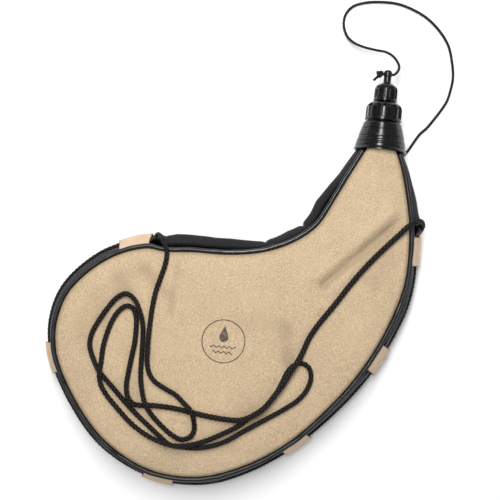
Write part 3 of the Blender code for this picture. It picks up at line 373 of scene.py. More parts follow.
def surface(name, grid, wrap_rows=False, wrap_columns=False, sharp=None, values=None):
    """Mesh over a grid of points, rows by columns. Its UV map is the length along the rows and
    along the columns in metres, sharp is the angle past which an edge stays hard, and values are
    attributes over the grid."""
    rows, columns = grid.shape[:2]
    quads, corners = grid_faces(rows, columns, wrap_rows, wrap_columns)
    mesh = bpy.data.meshes.new(name)
    mesh.from_pydata(grid.reshape(-1, 3), [], quads.tolist())
    down = np.append(way_along(grid[:, columns // 2]), 0.0)
    across = np.append(way_along(grid[rows // 2]), 0.0)
    down[-1], across[-1] = 2 * down[-2] - down[-3], 2 * across[-2] - across[-3]
    uv = np.column_stack([down[corners[:, 0]], across[corners[:, 1]]])
    mesh.uv_layers.new(name="UVMap").data.foreach_set("uv", uv.astype(np.float32).ravel())
    for key, value in (values or {}).items():
        mesh.attributes.new(key, "FLOAT", "POINT").data.foreach_set("value", value.astype(np.float32).ravel())
    work = bmesh.new()
    work.from_mesh(mesh)
    bmesh.ops.remove_doubles(work, verts=work.verts, dist=1e-6)
    work.to_mesh(mesh)
    work.free()
    mesh.shade_smooth()
    if sharp is not None:
        mesh.set_sharp_from_angle(angle=math.radians(sharp))
    return mesh


def strands_mesh(name, rings, way, raised=None):
    """Closed tubes from rings of points (tube, ring, corner): UV is the length along a tube and the
    share round it, each tube a whole number of tens further on. raised is an attribute over the rings."""
    tubes, rows, columns = rings.shape[:3]
    quads, corners = grid_faces(rows, columns, wrap_columns=True)
    step = np.arange(tubes)[:, None, None] * rows * columns
    faces = (quads[None] + step).reshape(-1, 4).tolist()
    index = np.arange(tubes * rows * columns).reshape(tubes, rows, columns)
    faces += index[:, 0].tolist() + index[:, -1, ::-1].tolist()
    mesh = bpy.data.meshes.new(name)
    mesh.from_pydata(rings.reshape(-1, 3), [], faces)
    uv = np.column_stack([way[corners[:, 0]], corners[:, 1] / columns])
    uv = np.concatenate([uv + (0.0, 10.0 * number) for number in range(tubes)])
    uv = np.concatenate([uv, np.zeros((len(mesh.loops) - len(uv), 2))])
    mesh.uv_layers.new(name="UVMap").data.foreach_set("uv", uv.astype(np.float32).ravel())
    if raised is not None:
        raised = np.repeat(raised[:, :, None], columns, axis=2).astype(np.float32)
        mesh.attributes.new("raised", "FLOAT", "POINT").data.foreach_set("value", raised.ravel())
    mesh.shade_smooth()
    return mesh


def tube_rings(path, radii, corners):
    """Rings round a path: its point plus side times cosine and up times sine, times the radius."""
    _, side, up = carried_frame(path)
    turn = np.arange(corners) * math.tau / corners
    radii = np.broadcast_to(radii, len(path))[:, None, None]
    around = side[:, None] * np.cos(turn)[:, None] + up[:, None] * np.sin(turn)[:, None]
    return path[:, None] + around * radii


def rounded_ends(way, radius):
    """Radius along a tube that closes in a half ball at both ends."""
    from_end = np.minimum(way, way[-1] - way)
    inside = np.clip(1.0 - from_end / radius, 0.0, 1.0)
    return radius * np.sqrt(np.maximum(1.0 - inside**2, 0.02))


def wound_rings(path, phases, hands, pitch, middle, swing, beat, half_width, half_thickness, corners):
    """Strands wound round a path. A strand's angle is its phase plus or minus a turn a pitch, and its
    distance from the path is middle plus or minus swing times a cosine of that beat, so that strands
    of the two hands pass over and under each other. Its section is a flat ellipse bent round the path."""
    _, side, up = carried_frame(path)
    way = way_along(path)
    turn = np.asarray(phases)[:, None] + np.asarray(hands)[:, None] * math.tau * way / pitch
    out = middle + swing * np.sign(hands)[:, None] * np.cos(math.tau * way / beat)
    radial = side * np.cos(turn)[..., None] + up * np.sin(turn)[..., None]
    centre = path + radial * out[..., None]
    along = unit(np.gradient(centre, axis=1))
    across = unit(np.cross(along, radial))
    rise = np.cross(across, along)
    corner = np.arange(corners) * math.tau / corners
    wide = half_width * np.cos(corner)
    high = half_thickness * np.sin(corner) - wide**2 / (2.0 * middle) * 0.85
    return centre[:, :, None] + across[:, :, None] * wide[:, None] + rise[:, :, None] * high[:, None]


def turned_grid(profile, steps, relief=None):
    """Section of (radius, height) turned round the neck's axis: x and z are the radius times the
    sine and cosine of the turn. relief(radius, height, turn) is added to the radius."""
    turn = np.arange(steps) * math.tau / steps
    radius = np.repeat(profile[:, :1], steps, axis=1)
    height = np.repeat(profile[:, 1:], steps, axis=1)
    if relief is not None:
        radius = np.maximum(radius + relief(radius, height, np.broadcast_to(turn, radius.shape)), 0.0)
    return np.stack([
        NECK[0] + radius * np.sin(turn), NECK[1] + height, NECK[2] + radius * np.cos(turn),
    ], axis=-1)


def softened(profile, round_off, closed):
    """Section with each corner turned into a short curve that starts round_off before it."""
    p = np.asarray(profile, dtype=float)
    before, after = np.roll(p, 1, axis=0), np.roll(p, -1, axis=0)
    limit = np.minimum(np.linalg.norm(before - p, axis=1), np.linalg.norm(after - p, axis=1)) * 0.45
    reach = np.minimum(round_off, limit)[:, None]
    if not closed:
        reach[[0, -1]] = 0.0
    f = np.array([0.0, 0.35, 0.65, 1.0])[None, :, None]
    start = (p + unit(before - p) * reach)[:, None]
    end = (p + unit(after - p) * reach)[:, None]
    return ((1 - f) ** 2 * start + 2 * f * (1 - f) * p[:, None] + f**2 * end).reshape(-1, 2)


def filled_in(profile, spacing, closed):
    """Section with points added so that no two are further apart than the spacing."""
    p = np.asarray(profile, dtype=float)
    after = np.roll(p, -1, axis=0) if closed else p[1:]
    p = p if closed else p[:-1]
    counts = np.maximum(np.ceil(np.linalg.norm(after - p, axis=1) / spacing), 1).astype(int)
    i = np.repeat(np.arange(len(p)), counts)
    f = np.concatenate([np.arange(count) / count for count in counts])[:, None]
    dense = p[i] * (1 - f) + after[i] * f
    if not closed:
        dense = np.concatenate([dense, after[-1:]])
    keep = np.linalg.norm(np.diff(dense, axis=0, append=dense[:1] + 1.0), axis=1) > 1e-6
    return dense[keep]


def shoulder(radius, top, width, height):
    """Quarter of an ellipse from a flat top out and down to the side."""
    return [
        (radius - width + width * math.sin(turn), top - height + height * math.cos(turn))
        for turn in SHOULDER_TURNS
    ]


def thread_relief(height, turn, pitch, low, high, depth):
    """A screw thread cut as deep as depth: a rounded wave of the height less a pitch a turn, running
    out at its low and high ends."""
    wave = 0.5 + 0.5 * np.cos(math.tau * height / pitch - turn)
    window = smoothstep(height, low, low + pitch / 2) * (1.0 - smoothstep(height, high - pitch / 2, high))
    return -depth * smoothstep(wave, 0.25, 0.75) * window


def arched_flutes(radius, height, turn, count, half_width, depth, foot, top, edge):
    """Recessed panels round a cap, straight below and arched above, with soft edges edge wide."""
    pitch = math.tau / count
    across = radius * (np.mod(turn + pitch / 2, pitch) - pitch / 2)
    over = np.maximum(height - (top - half_width), 0.0)
    inside = half_width - np.hypot(across, over)
    inside = np.minimum(inside, height - foot)
    return -depth * smoothstep(inside, 0.0, edge)


# ---------------------------------------------------------------- the bag's own shape

def bag_outline():
    """The panel's edge from the neck's hollow side, round the far end, to the neck's full side."""
    neck = NECK[:2]
    rim, tuck = np.array([NECK_HALF_WIDTH, 0.0]), np.array([TUCK_HALF_WIDTH, TUCK_LENGTH])
    mirror = np.array([-1.0, 1.0])
    stations = [neck + tuck * mirror, neck + rim * mirror]
    stations += [PANEL_SIZE * share for share in HOLLOW_SIDE_SHARES]
    stations.append(PANEL_SIZE * FAR_END_SHARES)
    stations += [PANEL_SIZE * share for share in reversed(FULL_SIDE_SHARES)]
    stations += [neck + rim, neck + tuck]
    return smooth_route(stations, OUTLINE_STEPS)


def outward_directions(outline):
    """Away from the bag at each point of the edge: square to it, but straight across at the neck."""
    along = unit(np.gradient(outline, axis=0))
    normal = np.column_stack([along[:, 1], -along[:, 0]])
    number = np.arange(len(outline))
    across = np.zeros_like(normal)
    across[:, 0] = np.where(number < len(outline) // 2 + 1, -1.0, 1.0)
    from_neck = np.minimum(number, len(outline) - 1 - number)
    weight = np.clip((from_neck - OUTLINE_STEPS) / (2 * OUTLINE_STEPS), 0.0, 1.0)[:, None]
    way = unit(across * (1 - weight) + normal * weight)
    return way / np.sum(way * normal, axis=1, keepdims=True)


OUTLINE = bag_outline()
OUTWARD = outward_directions(OUTLINE)
ROWS = len(OUTLINE) // 2 + 1
WAY_LENGTH = way_along(OUTLINE)[-1]
WAY_ROUND = way_along(OUTLINE) / WAY_LENGTH


def read_round(values, shares):
    """Values known at the outline's points, read at shares of the way round."""
    return np.stack([np.interp(shares, WAY_ROUND, column) for column in np.asarray(values).T], axis=-1)


def edge_points(shares, offsets, heights):
    """Points at offsets outside the panel's edge and at heights over the floor."""
    shares, offsets, heights = np.broadcast_arrays(shares, offsets, heights)
    flat = read_round(OUTLINE, shares) + read_round(OUTWARD, shares) * offsets[..., None]
    return np.concatenate([flat, heights[..., None]], axis=-1)


def nearest_edge(places):
    """Distance in from the sewn edge and share of the way round of each place: the least over the
    outline's stretches, and a distance of 0 outside."""
    start, step = OUTLINE[:-1], np.diff(OUTLINE, axis=0)
    square = np.sum(step * step, axis=1)
    distance, share = [], []
    for some in np.array_split(places, max(len(places) // 1500, 1)):
        reach = some[:, None, :] - start[None]
        part = np.clip(np.sum(reach * step, axis=2) / square, 0.0, 1.0)
        away = reach - part[..., None] * step
        far = np.linalg.norm(away, axis=2)
        nearest = np.argmin(far, axis=1)
        row = np.arange(len(some))
        outside = np.sum(away[row, nearest] * OUTWARD[nearest], axis=1) > 0
        distance.append(np.where(outside, 0.0, far[row, nearest]))
        near = WAY_ROUND[nearest] + part[row, nearest] * np.diff(WAY_ROUND)[nearest]
        share.append(near)
    return np.concatenate(distance), np.concatenate(share)


def front_height(distance):
    """Top of the plain front panel: it swells from the seam as one less a falling exponential."""
    return FRONT_SEAM_Z + PANEL_THICKNESS / 2 + CROWN * (1.0 - np.exp(-distance / CROWN_REACH))


def back_height(distance):
    """Underside of the plain back panel: it sinks from the seam to the floor as one less a falling
    exponential."""
    sink = np.maximum(0.0, 1.0 - BACK_SINK_SHARE * (1.0 - np.exp(-distance / CROWN_REACH)))
    return (BACK_SEAM_Z - PANEL_THICKNESS / 2) * sink


def fold_relief(places, distance, scale):
    """Rise of the front panel's folds and slow waves: bells across straight stretches, and plane
    waves that fade towards the seam."""
    rise = sum(
        height * np.exp(-((from_segment(places, (ax, ay), (bx, by)) / width) ** 2))
        for ax, ay, bx, by, width, height in FOLDS
    )
    rise = rise + 0.00045 * plane_waves(places, 5, 9, 0.045, 0.110)
    rise = rise + 0.00016 * plane_waves(places, 8, 10, 0.016, 0.034)
    return scale * rise * smoothstep(distance, 0.0, 0.018)


def gusset_height(section):
    """Height of the gusset at a share of its section from the front seam."""
    return GUSSET_TOP_Z + (GUSSET_FOOT_Z - GUSSET_TOP_Z) * section


def bulge_at(shares):
    """How far the gusset stands out of the seams at shares of the way round."""
    table = np.array(GUSSET_BULGE_SHARES)
    return GUSSET_BULGE * np.interp(shares, table[:, 0], table[:, 1])


def gusset_offset(shares, section):
    """Half a sine wave over the section, from seam to seam."""
    return SEAM_OFFSET + bulge_at(shares) * np.sin(math.pi * section)


def beside_gusset(shares, section, half):
    """Offset of the middle of a piece that lies against the gusset, half its thickness off: the gap is
    measured square to the gusset's slope."""
    slope = math.pi * bulge_at(shares) * np.cos(math.pi * section) / (GUSSET_TOP_Z - GUSSET_FOOT_Z)
    return gusset_offset(shares, section) + (GAP + half) * np.hypot(1.0, slope)


def edge_cord_offset(shares):
    """Middle of the carry cord outside the panel's edge."""
    section = (GUSSET_TOP_Z - EDGE_CORD_Z) / (GUSSET_TOP_Z - GUSSET_FOOT_Z)
    return beside_gusset(shares, section, CORD_RADIUS)


HALF_LOOP = LOOP_LENGTH / 2 / WAY_LENGTH
EDGE_CORD_SPAN = (LOOP_PLACE_SHARES[0] - HALF_LOOP, LOOP_PLACE_SHARES[-1] + HALF_LOOP)


def slack_path(spacing, fold_scale):
    """The carry cord's free stretch: the height is read as a lift over the panel, smoothed with the
    route, and put back on the folded panel's height, itself smoothed as a cord of some stiffness is."""
    span = np.array(EDGE_CORD_SPAN)
    ways = np.array([-1.0, 1.0]) / WAY_LENGTH
    ends = np.concatenate([span + ways * GAP, span + ways * SLACK_LEAD])
    first, last, after_first, before_last = edge_points(ends, edge_cord_offset(ends), EDGE_CORD_Z)
    rise = np.concatenate([[first, after_first], SLACK_RISE])
    fall = np.concatenate([SLACK_FALL, [before_last, last]])
    lay = np.array(SLACK_LAY) * (1.0, 1.0, 2 * CORD_RADIUS)
    on_panel = SLACK_GAP + CORD_RADIUS
    for part in (rise, fall):
        part[:, 2] -= front_height(nearest_edge(part[:, :2])[0]) + on_panel
    places = np.concatenate([rise, lay, fall])
    path = even_path(smooth_route(places, 24), spacing)
    distance = nearest_edge(path[:, :2])[0]
    folds = fold_relief(path[:, :2], distance, fold_scale)
    settled = 0.0004 * smoothstep(distance, 0.004, 0.012)
    path[:, 2] += front_height(distance) + on_panel - settled + blurred(folds, spacing, 0.004)
    return path


def tether_path(spacing):
    """The thin cord from beside the knob, round on the floor, to the collar's foot."""
    foot = np.array([NECK[0], NECK[1], 0.0])
    route = np.concatenate([NECK + (0.0, HOLE_Y, 0.0) + TETHER_OUT, TETHER_LAY, foot + TETHER_END])
    return even_path(smooth_route(route, 24), spacing)


# ---------------------------------------------------------------- finishes

class Finish:
    """A Principled material and the few node moves that the finishes share. Numbers that are the same
    all over stand on the shader's own sockets."""

    def __init__(self, name, **shader):
        self.material = bpy.data.materials.new(name)
        self.material.use_nodes = True
        self.tree = self.material.node_tree
        self.shader = self.tree.nodes["Principled BSDF"]
        for socket, value in shader.items():
            value = (*value, 1.0) if np.size(value) == 3 else value
            self.shader.inputs[socket.replace("_", " ")].default_value = value
        self.place = self.node("ShaderNodeTexCoord").outputs["Object"]

    def node(self, kind, settings=(), **inputs):
        """A node with its settings, its inputs linked where they are sockets and set where not."""
        item = self.tree.nodes.new(kind)
        for key, value in dict(settings).items():
            setattr(item, key, value)
        for key, value in inputs.items():
            self.feed(item.inputs[key.replace("_", " ")], value)
        return item

    def feed(self, socket, value):
        """Link a socket into another, or set its value."""
        if isinstance(value, bpy.types.NodeSocket):
            self.tree.links.new(value, socket)
        else:
            socket.default_value = value

    def uv(self):
        """The piece's own UV map, in metres."""
        return self.node("ShaderNodeUVMap", {"uv_map": "UVMap"}).outputs["UV"]

    def value_of(self, name):
        """An attribute of the piece's mesh."""
        return self.node("ShaderNodeAttribute", {"attribute_name": name}).outputs["Fac"]

    def stretched(self, place, scale, turn=0.0):
        """A place stretched along its axes, after a turn round Z."""
        item = self.node("ShaderNodeMapping", Vector=place)
        item.inputs["Scale"].default_value = scale
        item.inputs["Rotation"].default_value = (0.0, 0.0, turn)
        return item.outputs["Vector"]

    def noise(self, place, scale, detail=3.0, rough=0.55, warp=0.0):
        """Fractal noise from 0 to 1."""
        return self.node(
            "ShaderNodeTexNoise", Vector=place, Scale=scale, Detail=detail, Roughness=rough, Distortion=warp,
        ).outputs["Fac"]

    def waves(self, place, scale, warp=0.0, direction="X"):
        """Bands from 0 to 1."""
        settings = {"wave_type": "BANDS", "bands_direction": direction}
        return self.node("ShaderNodeTexWave", settings, Vector=place, Scale=scale, Distortion=warp).outputs["Fac"]

    def maths(self, operation, a, b=0.0):
        """One sum on two values."""
        item = self.tree.nodes.new("ShaderNodeMath")
        item.operation = operation
        self.feed(item.inputs[0], a)
        self.feed(item.inputs[1], b)
        return item.outputs[0]

    def spread(self, value, low, high, to_low=0.0, to_high=1.0):
        """A value's range moved onto another, and held inside it."""
        item = self.node("ShaderNodeMapRange", {"interpolation_type": "SMOOTHSTEP"}, Value=value)
        for key, number in (("From Min", low), ("From Max", high), ("To Min", to_low), ("To Max", to_high)):
            item.inputs[key].default_value = number
        return item.outputs["Result"]

    def mixed(self, share, a, b, blend="MIX"):
        """Two colours mixed by a share."""
        item = self.tree.nodes.new("ShaderNodeMix")
        item.data_type = "RGBA"
        item.blend_type = blend
        self.feed(item.inputs[0], share)
        for number, value in ((6, a), (7, b)):
            self.feed(item.inputs[number], value if isinstance(value, bpy.types.NodeSocket) else (*value, 1.0))
        return item.outputs[2]

    def bumps(self, *layers):
        """Bump layers of (height, depth in metres), one over another, on the shader's normal."""
        normal = None
        for height, depth in layers:
            item = self.node("ShaderNodeBump", Height=height, Distance=depth)
            item.inputs["Strength"].default_value = 1.0
            if normal is not None:
                self.feed(item.inputs["Normal"], normal)
            normal = item.outputs["Normal"]
        self.feed(self.shader.inputs["Normal"], normal)

    def colour(self, value):
        """The shader's base colour."""
        self.feed(self.shader.inputs["Base Color"], value)


def tinted(colour, factor):
    """A colour made lighter or darker."""
    return tuple(min(channel * factor, 1.0) for channel in colour)


def stamp_ink(finish):
    """Where the round ink stamp lies on the front panel: a thin ring, a filled drop and two rows of
    short waves, each from the place's distance to a line, worn through by noise."""
    axes = finish.node("ShaderNodeSeparateXYZ", Vector=finish.place).outputs
    x, y = axes["X"], axes["Y"]

    def stroke(distance, half):
        """1 within half of a line and 0 past it."""
        return finish.spread(finish.maths("ABSOLUTE", distance), half * 0.7, half * 1.3, 1.0, 0.0)

    def reach(cx, cy):
        """Distance from a point."""
        a = finish.maths("POWER", finish.maths("ADD", x, -cx), 2.0)
        b = finish.maths("POWER", finish.maths("ADD", y, -cy), 2.0)
        return finish.maths("SQRT", finish.maths("ADD", a, b))

    ring = stroke(finish.maths("ADD", reach(0.0, 0.0), -0.0170), 0.00045)
    ball = finish.spread(reach(0.0, 0.0030), 0.0034, 0.0038, 1.0, 0.0)
    side = finish.maths("MULTIPLY", finish.maths("ADD", finish.maths("MULTIPLY", y, -1.0), 0.0125), 0.44)
    past_side = finish.maths("SUBTRACT", finish.maths("ABSOLUTE", x), side)
    tip = finish.spread(past_side, -0.0002, 0.0002, 1.0, 0.0)
    above = finish.spread(y, 0.0042, 0.0046)
    drop = finish.maths("MAXIMUM", ball, finish.maths("MULTIPLY", tip, above))
    rows = []
    for middle, half in ((-0.0045, 0.0105), (-0.0088, 0.0080)):
        swing = finish.maths("MULTIPLY", finish.maths("SINE", finish.maths("MULTIPLY", x, 1500.0)), 0.0007)
        line = stroke(finish.maths("ADD", finish.maths("SUBTRACT", y, swing), -middle), 0.00055)
        within = finish.spread(finish.maths("ABSOLUTE", x), half - 0.0003, half, 1.0, 0.0)
        rows.append(finish.maths("MULTIPLY", line, within))
    marks = finish.maths("MAXIMUM", finish.maths("MAXIMUM", ring, drop), finish.maths("MAXIMUM", *rows))
    worn = finish.spread(finish.noise(finish.place, 900.0, 2.0), 0.36, 0.52, 0.45, 0.92)
    return finish.maths("MULTIPLY", marks, worn)


def suede_finish(name, colour, stamped):
    """Napped suede: slow blotches, brushed strokes and short fibres in colour and in bump, painted shade in
    the fold valleys and where the cord presses in, and darker towards the seam."""
    finish = Finish(name, Roughness=0.92, Sheen_Weight=0.22, Sheen_Roughness=0.55, Specular_IOR_Level=0.25)
    finish.shader.inputs["Sheen Tint"].default_value = (*tinted(colour, 1.25), 1.0)
    place = finish.place
    blotch = finish.noise(place, 34.0, 4.0, 0.6)
    strokes = finish.noise(finish.stretched(place, (300.0, 90.0, 300.0), 0.6), 1.0, 4.0, 0.65, 0.4)
    grain = finish.noise(place, 900.0, 3.0, 0.8)
    fibre = finish.noise(finish.stretched(place, (2600.0, 900.0, 2600.0), -0.4), 1.0, 2.0, 0.6)
    tone = finish.mixed(finish.spread(blotch, 0.32, 0.68), tinted(colour, 0.90), tinted(colour, 1.08))
    tone = finish.mixed(finish.spread(strokes, 0.34, 0.66, 0.0, 0.45), tone, tinted(colour, 0.78))
    tone = finish.mixed(finish.spread(grain, 0.43, 0.57, 0.0, 0.85), tone, tinted(colour, 1.34))
    tone = finish.mixed(finish.spread(fibre, 0.48, 0.66, 0.0, 0.50), tone, tinted(colour, 0.64))
    seam = finish.spread(finish.value_of("seam"), 0.0, 0.004, 0.30, 0.0)
    tone = finish.mixed(seam, tone, tinted(colour, 0.55))
    # Painted shade: the fold valleys and the cord's press, carried in the fold attribute, darken the colour to
    # 0.62
    painted_fold_shade = finish.spread(finish.value_of("fold"), -0.0018, 0.0, 0.55, 0.0)
    tone = finish.mixed(painted_fold_shade, tone, tinted(colour, 0.62))
    if stamped:
        tone = finish.mixed(stamp_ink(finish), tone, (0.035, 0.033, 0.036))
    finish.colour(tone)
    finish.bumps((blotch, 0.0010), (strokes, 0.00050), (grain, 0.00045), (fibre, 0.00018))
    return finish.material


def loop_leather_finish(name, colour):
    """Undyed strap leather: faint grain, fine pores and a dark cut edge."""
    finish = Finish(name, Roughness=0.72, Specular_IOR_Level=0.35)
    blotch = finish.noise(finish.place, 120.0, 4.0)
    pores = finish.noise(finish.place, 1600.0, 3.0, 0.6)
    tone = finish.mixed(finish.spread(blotch, 0.3, 0.7), tinted(colour, 0.92), tinted(colour, 1.06))
    tone = finish.mixed(finish.spread(pores, 0.45, 0.75, 0.0, 0.35), tone, tinted(colour, 0.75))
    cut = finish.spread(finish.value_of("cut"), 0.0, 0.0009, 0.75, 0.0)
    tone = finish.mixed(cut, tone, (0.10, 0.045, 0.02))
    finish.colour(tone)
    finish.bumps((blotch, 0.0003), (pores, 0.0001))
    return finish.material


def piping_finish(name, colour):
    """Glossy rolled piping: a faint lengthwise grain, and scuffs and handling that dull it past the neck's
    hollow side."""
    finish = Finish(name, Specular_IOR_Level=0.40)
    scuff = finish.noise(finish.place, 300.0, 4.0, 0.65)
    grain = finish.noise(finish.stretched(finish.uv(), (160.0, 2600.0, 1.0)), 1.0, 3.0)
    finish.colour(finish.mixed(finish.spread(scuff, 0.45, 0.75), tinted(colour, 0.8), tinted(colour, 1.4)))
    way = finish.node("ShaderNodeSeparateXYZ", Vector=finish.uv()).outputs["X"]
    past = finish.spread(way, 0.145, 0.170)
    patches = finish.spread(finish.noise(finish.place, 55.0, 2.0), 0.30, 0.48)
    dull = finish.maths("MULTIPLY", finish.maths("MULTIPLY", past, patches), 0.26)
    rough = finish.maths("ADD", finish.spread(scuff, 0.35, 0.75, 0.12, 0.20), dull)
    finish.feed(finish.shader.inputs["Roughness"], rough)
    finish.bumps((grain, 0.00002), (finish.noise(finish.place, 110.0, 2.0), 0.00006))
    return finish.material


def gusset_finish(name, colour):
    """Coated ribbed cloth: ribs down the section crossed by a finer weave, with painted shade deep in the seams.
    """
    finish = Finish(name, Roughness=0.50)
    uv = finish.uv()
    ribs = finish.waves(uv, 330.0, 0.25, "X")
    weave = finish.waves(uv, 520.0, 0.4, "Y")
    dust = finish.noise(finish.place, 90.0, 5.0, 0.6)
    tone = finish.mixed(finish.spread(ribs, 0.1, 0.9), tinted(colour, 0.70), tinted(colour, 1.30))
    tone = finish.mixed(finish.spread(dust, 0.50, 0.80, 0.0, 0.18), tone, (0.050, 0.050, 0.058))
    # Painted shade: within 3.4 mm of a seam the colour falls to 0.12 and the specular to none, easing back by 6.2
    # mm
    out_of_seam_shade = finish.spread(finish.value_of("seam"), 0.0034, 0.0062)
    finish.colour(finish.mixed(out_of_seam_shade, tinted(colour, 0.12), tone))
    finish.feed(finish.shader.inputs["Specular IOR Level"], finish.maths("MULTIPLY", out_of_seam_shade, 0.28))
    finish.bumps((dust, 0.0004), (ribs, 0.00012), (weave, 0.00006))
    return finish.material


def braid_finish(name, colour, fibre_scale, woven):
    """Braided yarn: fine filaments along each strand; when woven, painted shade where a strand dips under another
    and painted highlight where it passes over.
    """
    finish = Finish(name, Roughness=0.48, Specular_IOR_Level=0.24, Sheen_Weight=0.02, Sheen_Roughness=0.4)
    finish.shader.inputs["Sheen Tint"].default_value = (0.30, 0.25, 0.20, 1.0)
    filament = finish.noise(finish.stretched(finish.uv(), (fibre_scale, 22.0, 1.0)), 1.0, 3.0, 0.6)
    fuzz = finish.noise(finish.place, 1400.0, 2.0)
    tone = finish.mixed(finish.spread(filament, 0.35, 0.70), tinted(colour, 0.6), tinted(colour, 1.9))
    if woven:
        # Painted shade and highlight: strands dipping under another are darkened to 0.15 of the colour, strands
        # passing over are brightened up to 2.6 times, and their specular follows
        raised = finish.value_of("raised")
        painted_highlight_tone = finish.mixed(1.0, tone, (2.6, 2.4, 2.3), "MULTIPLY")
        tone = finish.mixed(finish.spread(raised, 0.40, 0.95), tinted(colour, 0.15), painted_highlight_tone)
        finish.feed(finish.shader.inputs["Specular IOR Level"], finish.spread(raised, 0.40, 0.90, 0.02, 0.34))
    finish.colour(finish.mixed(finish.spread(fuzz, 0.55, 0.8, 0.0, 0.3), tone, (0.026, 0.020, 0.015)))
    finish.bumps((filament, 0.00012), (fuzz, 0.00005))
    return finish.material


def bakelite_finish(name, colour, gloss):
    """Polished black moulding with faint flow marks, fine scratches and fingered dullness."""
    finish = Finish(name, Specular_IOR_Level=0.44, Coat_Weight=0.05, Coat_Roughness=0.06)
    haze = finish.noise(finish.place, 160.0, 4.0, 0.6)
    scratch = finish.noise(finish.stretched(finish.place, (300.0, 4200.0, 300.0)), 1.0, 2.0)
    finish.colour(finish.mixed(finish.spread(haze, 0.4, 0.7), tinted(colour, 0.8), tinted(colour, 1.5)))
    hazed = finish.spread(haze, 0.35, 0.75, gloss, gloss + 0.12)
    rough = finish.maths("ADD", hazed, finish.spread(scratch, 0.55, 0.8, 0.0, 0.06))
    finish.feed(finish.shader.inputs["Roughness"], rough)
    finish.bumps((haze, 0.000025), (scratch, 0.00001))
    return finish.material


def rubber_finish(name, colour, rough, coarse):
    """Soft rubber: a dusty bloom and a fine dimpled skin."""
    finish = Finish(name, Roughness=rough, Specular_IOR_Level=0.35)
    bloom = finish.noise(finish.place, coarse, 4.0)
    dimples = finish.noise(finish.place, coarse * 14.0, 2.0)
    finish.colour(finish.mixed(finish.spread(bloom, 0.35, 0.70), tinted(colour, 0.85), tinted(colour, 1.18)))
    finish.bumps((bloom, 0.0002), (dimples, 0.00004))
    return finish.material


def floor_finish(name, colour):
    """Pale studio paper with a barely seen tooth."""
    finish = Finish(name, Roughness=0.95, Specular_IOR_Level=0.1)
    tooth = finish.noise(finish.place, 260.0, 3.0)
    finish.colour(finish.mixed(finish.spread(tooth, 0.3, 0.7), tinted(colour, 0.995), colour))
    finish.bumps((tooth, 0.00004))
    return finish.material


# ---------------------------------------------------------------- pieces

def add_piece(name, mesh, material, body="skin", stands_for=()):
    """Link a finished mesh as a piece that rides on a body and stands for CAD nodes."""
    piece = bpy.data.objects.new(name, mesh)
    bpy.context.scene.collection.objects.link(piece)
    mesh.materials.append(material)
    if body is not None:
        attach(piece, body)
    if stands_for:
        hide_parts(*stands_for)
    return piece


def add_wall(piece, thickness, offset=-1.0):
    """Give an open surface its thickness: offset -1 keeps the surface as the outer side."""
    wall = piece.modifiers.new("Wall", "SOLIDIFY")
    wall.thickness = thickness
    wall.offset = offset
    wall.use_even_offset = False


def add_light(name, size, power, place, target, colour=(1.0, 1.0, 1.0)):
    """A rectangular area light that looks at a point."""
    lamp = bpy.data.lights.new(name, "AREA")
    lamp.shape = "RECTANGLE"
    lamp.size, lamp.size_y = size
    lamp.energy = power
    lamp.color = colour
    item = bpy.data.objects.new(name, lamp)
    item.location = place
    way = np.array(target) - np.array(place)
    across = math.hypot(way[0], way[1])
    item.rotation_euler = (math.atan2(across, -way[2]), 0.0, math.atan2(way[1], way[0]) - math.pi / 2)
    bpy.context.scene.collection.objects.link(item)
    return item


def edge_shares(columns, bias):
    """Shares across a row from 0 to 1, crowded towards both ends."""
    even = np.linspace(-1.0, 1.0, columns)
    return 0.5 + 0.5 * np.sign(even) * (1.0 - (1.0 - np.abs(even)) ** bias)


def panel_places(outline, columns):
    """Rows of places across the bag, from its neck to its far end."""
    left, right = outline[:ROWS], outline[ROWS - 1:][::-1]
    share = edge_shares(columns, 1.7)[None, :, None]
    return left[:, None] * (1 - share) + right[:, None] * share


def raised_to(places, height):
    """Rows of places put at their heights."""
    return np.concatenate([places, height.reshape(*places.shape[:2], 1)], axis=-1)


def cord_press(places, path, lifts):
    """How much the resting cord presses into the panel at each place: a bell across its path."""
    press = np.zeros(len(places))
    resting = path[lifts < 0.0016][::4]
    for some in np.array_split(np.arange(len(places)), max(len(places) // 4000, 1)):
        away = np.linalg.norm(places[some, None] - resting[None, :, :2], axis=2).min(axis=1)
        press[some] = np.exp(-((away / 0.0042) ** 2))
    return press


class BotaSkinSettings(bpy.types.PropertyGroup):
    suede_colour: bpy.props.FloatVectorProperty(
        name="Suede", description="Colour of the two suede panels", subtype="COLOR", size=3,
        min=0.0, max=1.0, default=(0.535, 0.407, 0.265),
    )
    piping_colour: bpy.props.FloatVectorProperty(
        name="Piping", description="Colour of the glossy piping", subtype="COLOR", size=3,
        min=0.0, max=1.0, default=(0.010, 0.010, 0.012),
    )
    gusset_colour: bpy.props.FloatVectorProperty(
        name="Gusset", description="Colour of the ribbed gusset", subtype="COLOR", size=3,
        min=0.0, max=1.0, default=(0.0095, 0.0098, 0.0120),
    )
    loop_colour: bpy.props.FloatVectorProperty(
        name="Loops", description="Colour of the leather loops", subtype="COLOR", size=3,
        min=0.0, max=1.0, default=(0.690, 0.510, 0.345),
    )
    fold_scale: bpy.props.FloatProperty(
        name="Folds", description="Strength of the front panel's folds", subtype="FACTOR",
        min=0.0, max=2.0, default=1.0,
    )
    pucker_depth: bpy.props.FloatProperty(
        name="Pucker depth", description="Depth of the puckers along the seams", unit="LENGTH",
        min=0.0, max=0.001, default=0.00030,
    )
    wrinkle_depth: bpy.props.FloatProperty(
        name="Wrinkle depth", description="Depth of the gusset's wrinkles", unit="LENGTH",
        min=0.0, max=0.002, default=0.00026,
    )
    panel_columns: bpy.props.IntProperty(
        name="Panel columns", description="Points across each suede panel", min=40, max=180, default=132,
    )


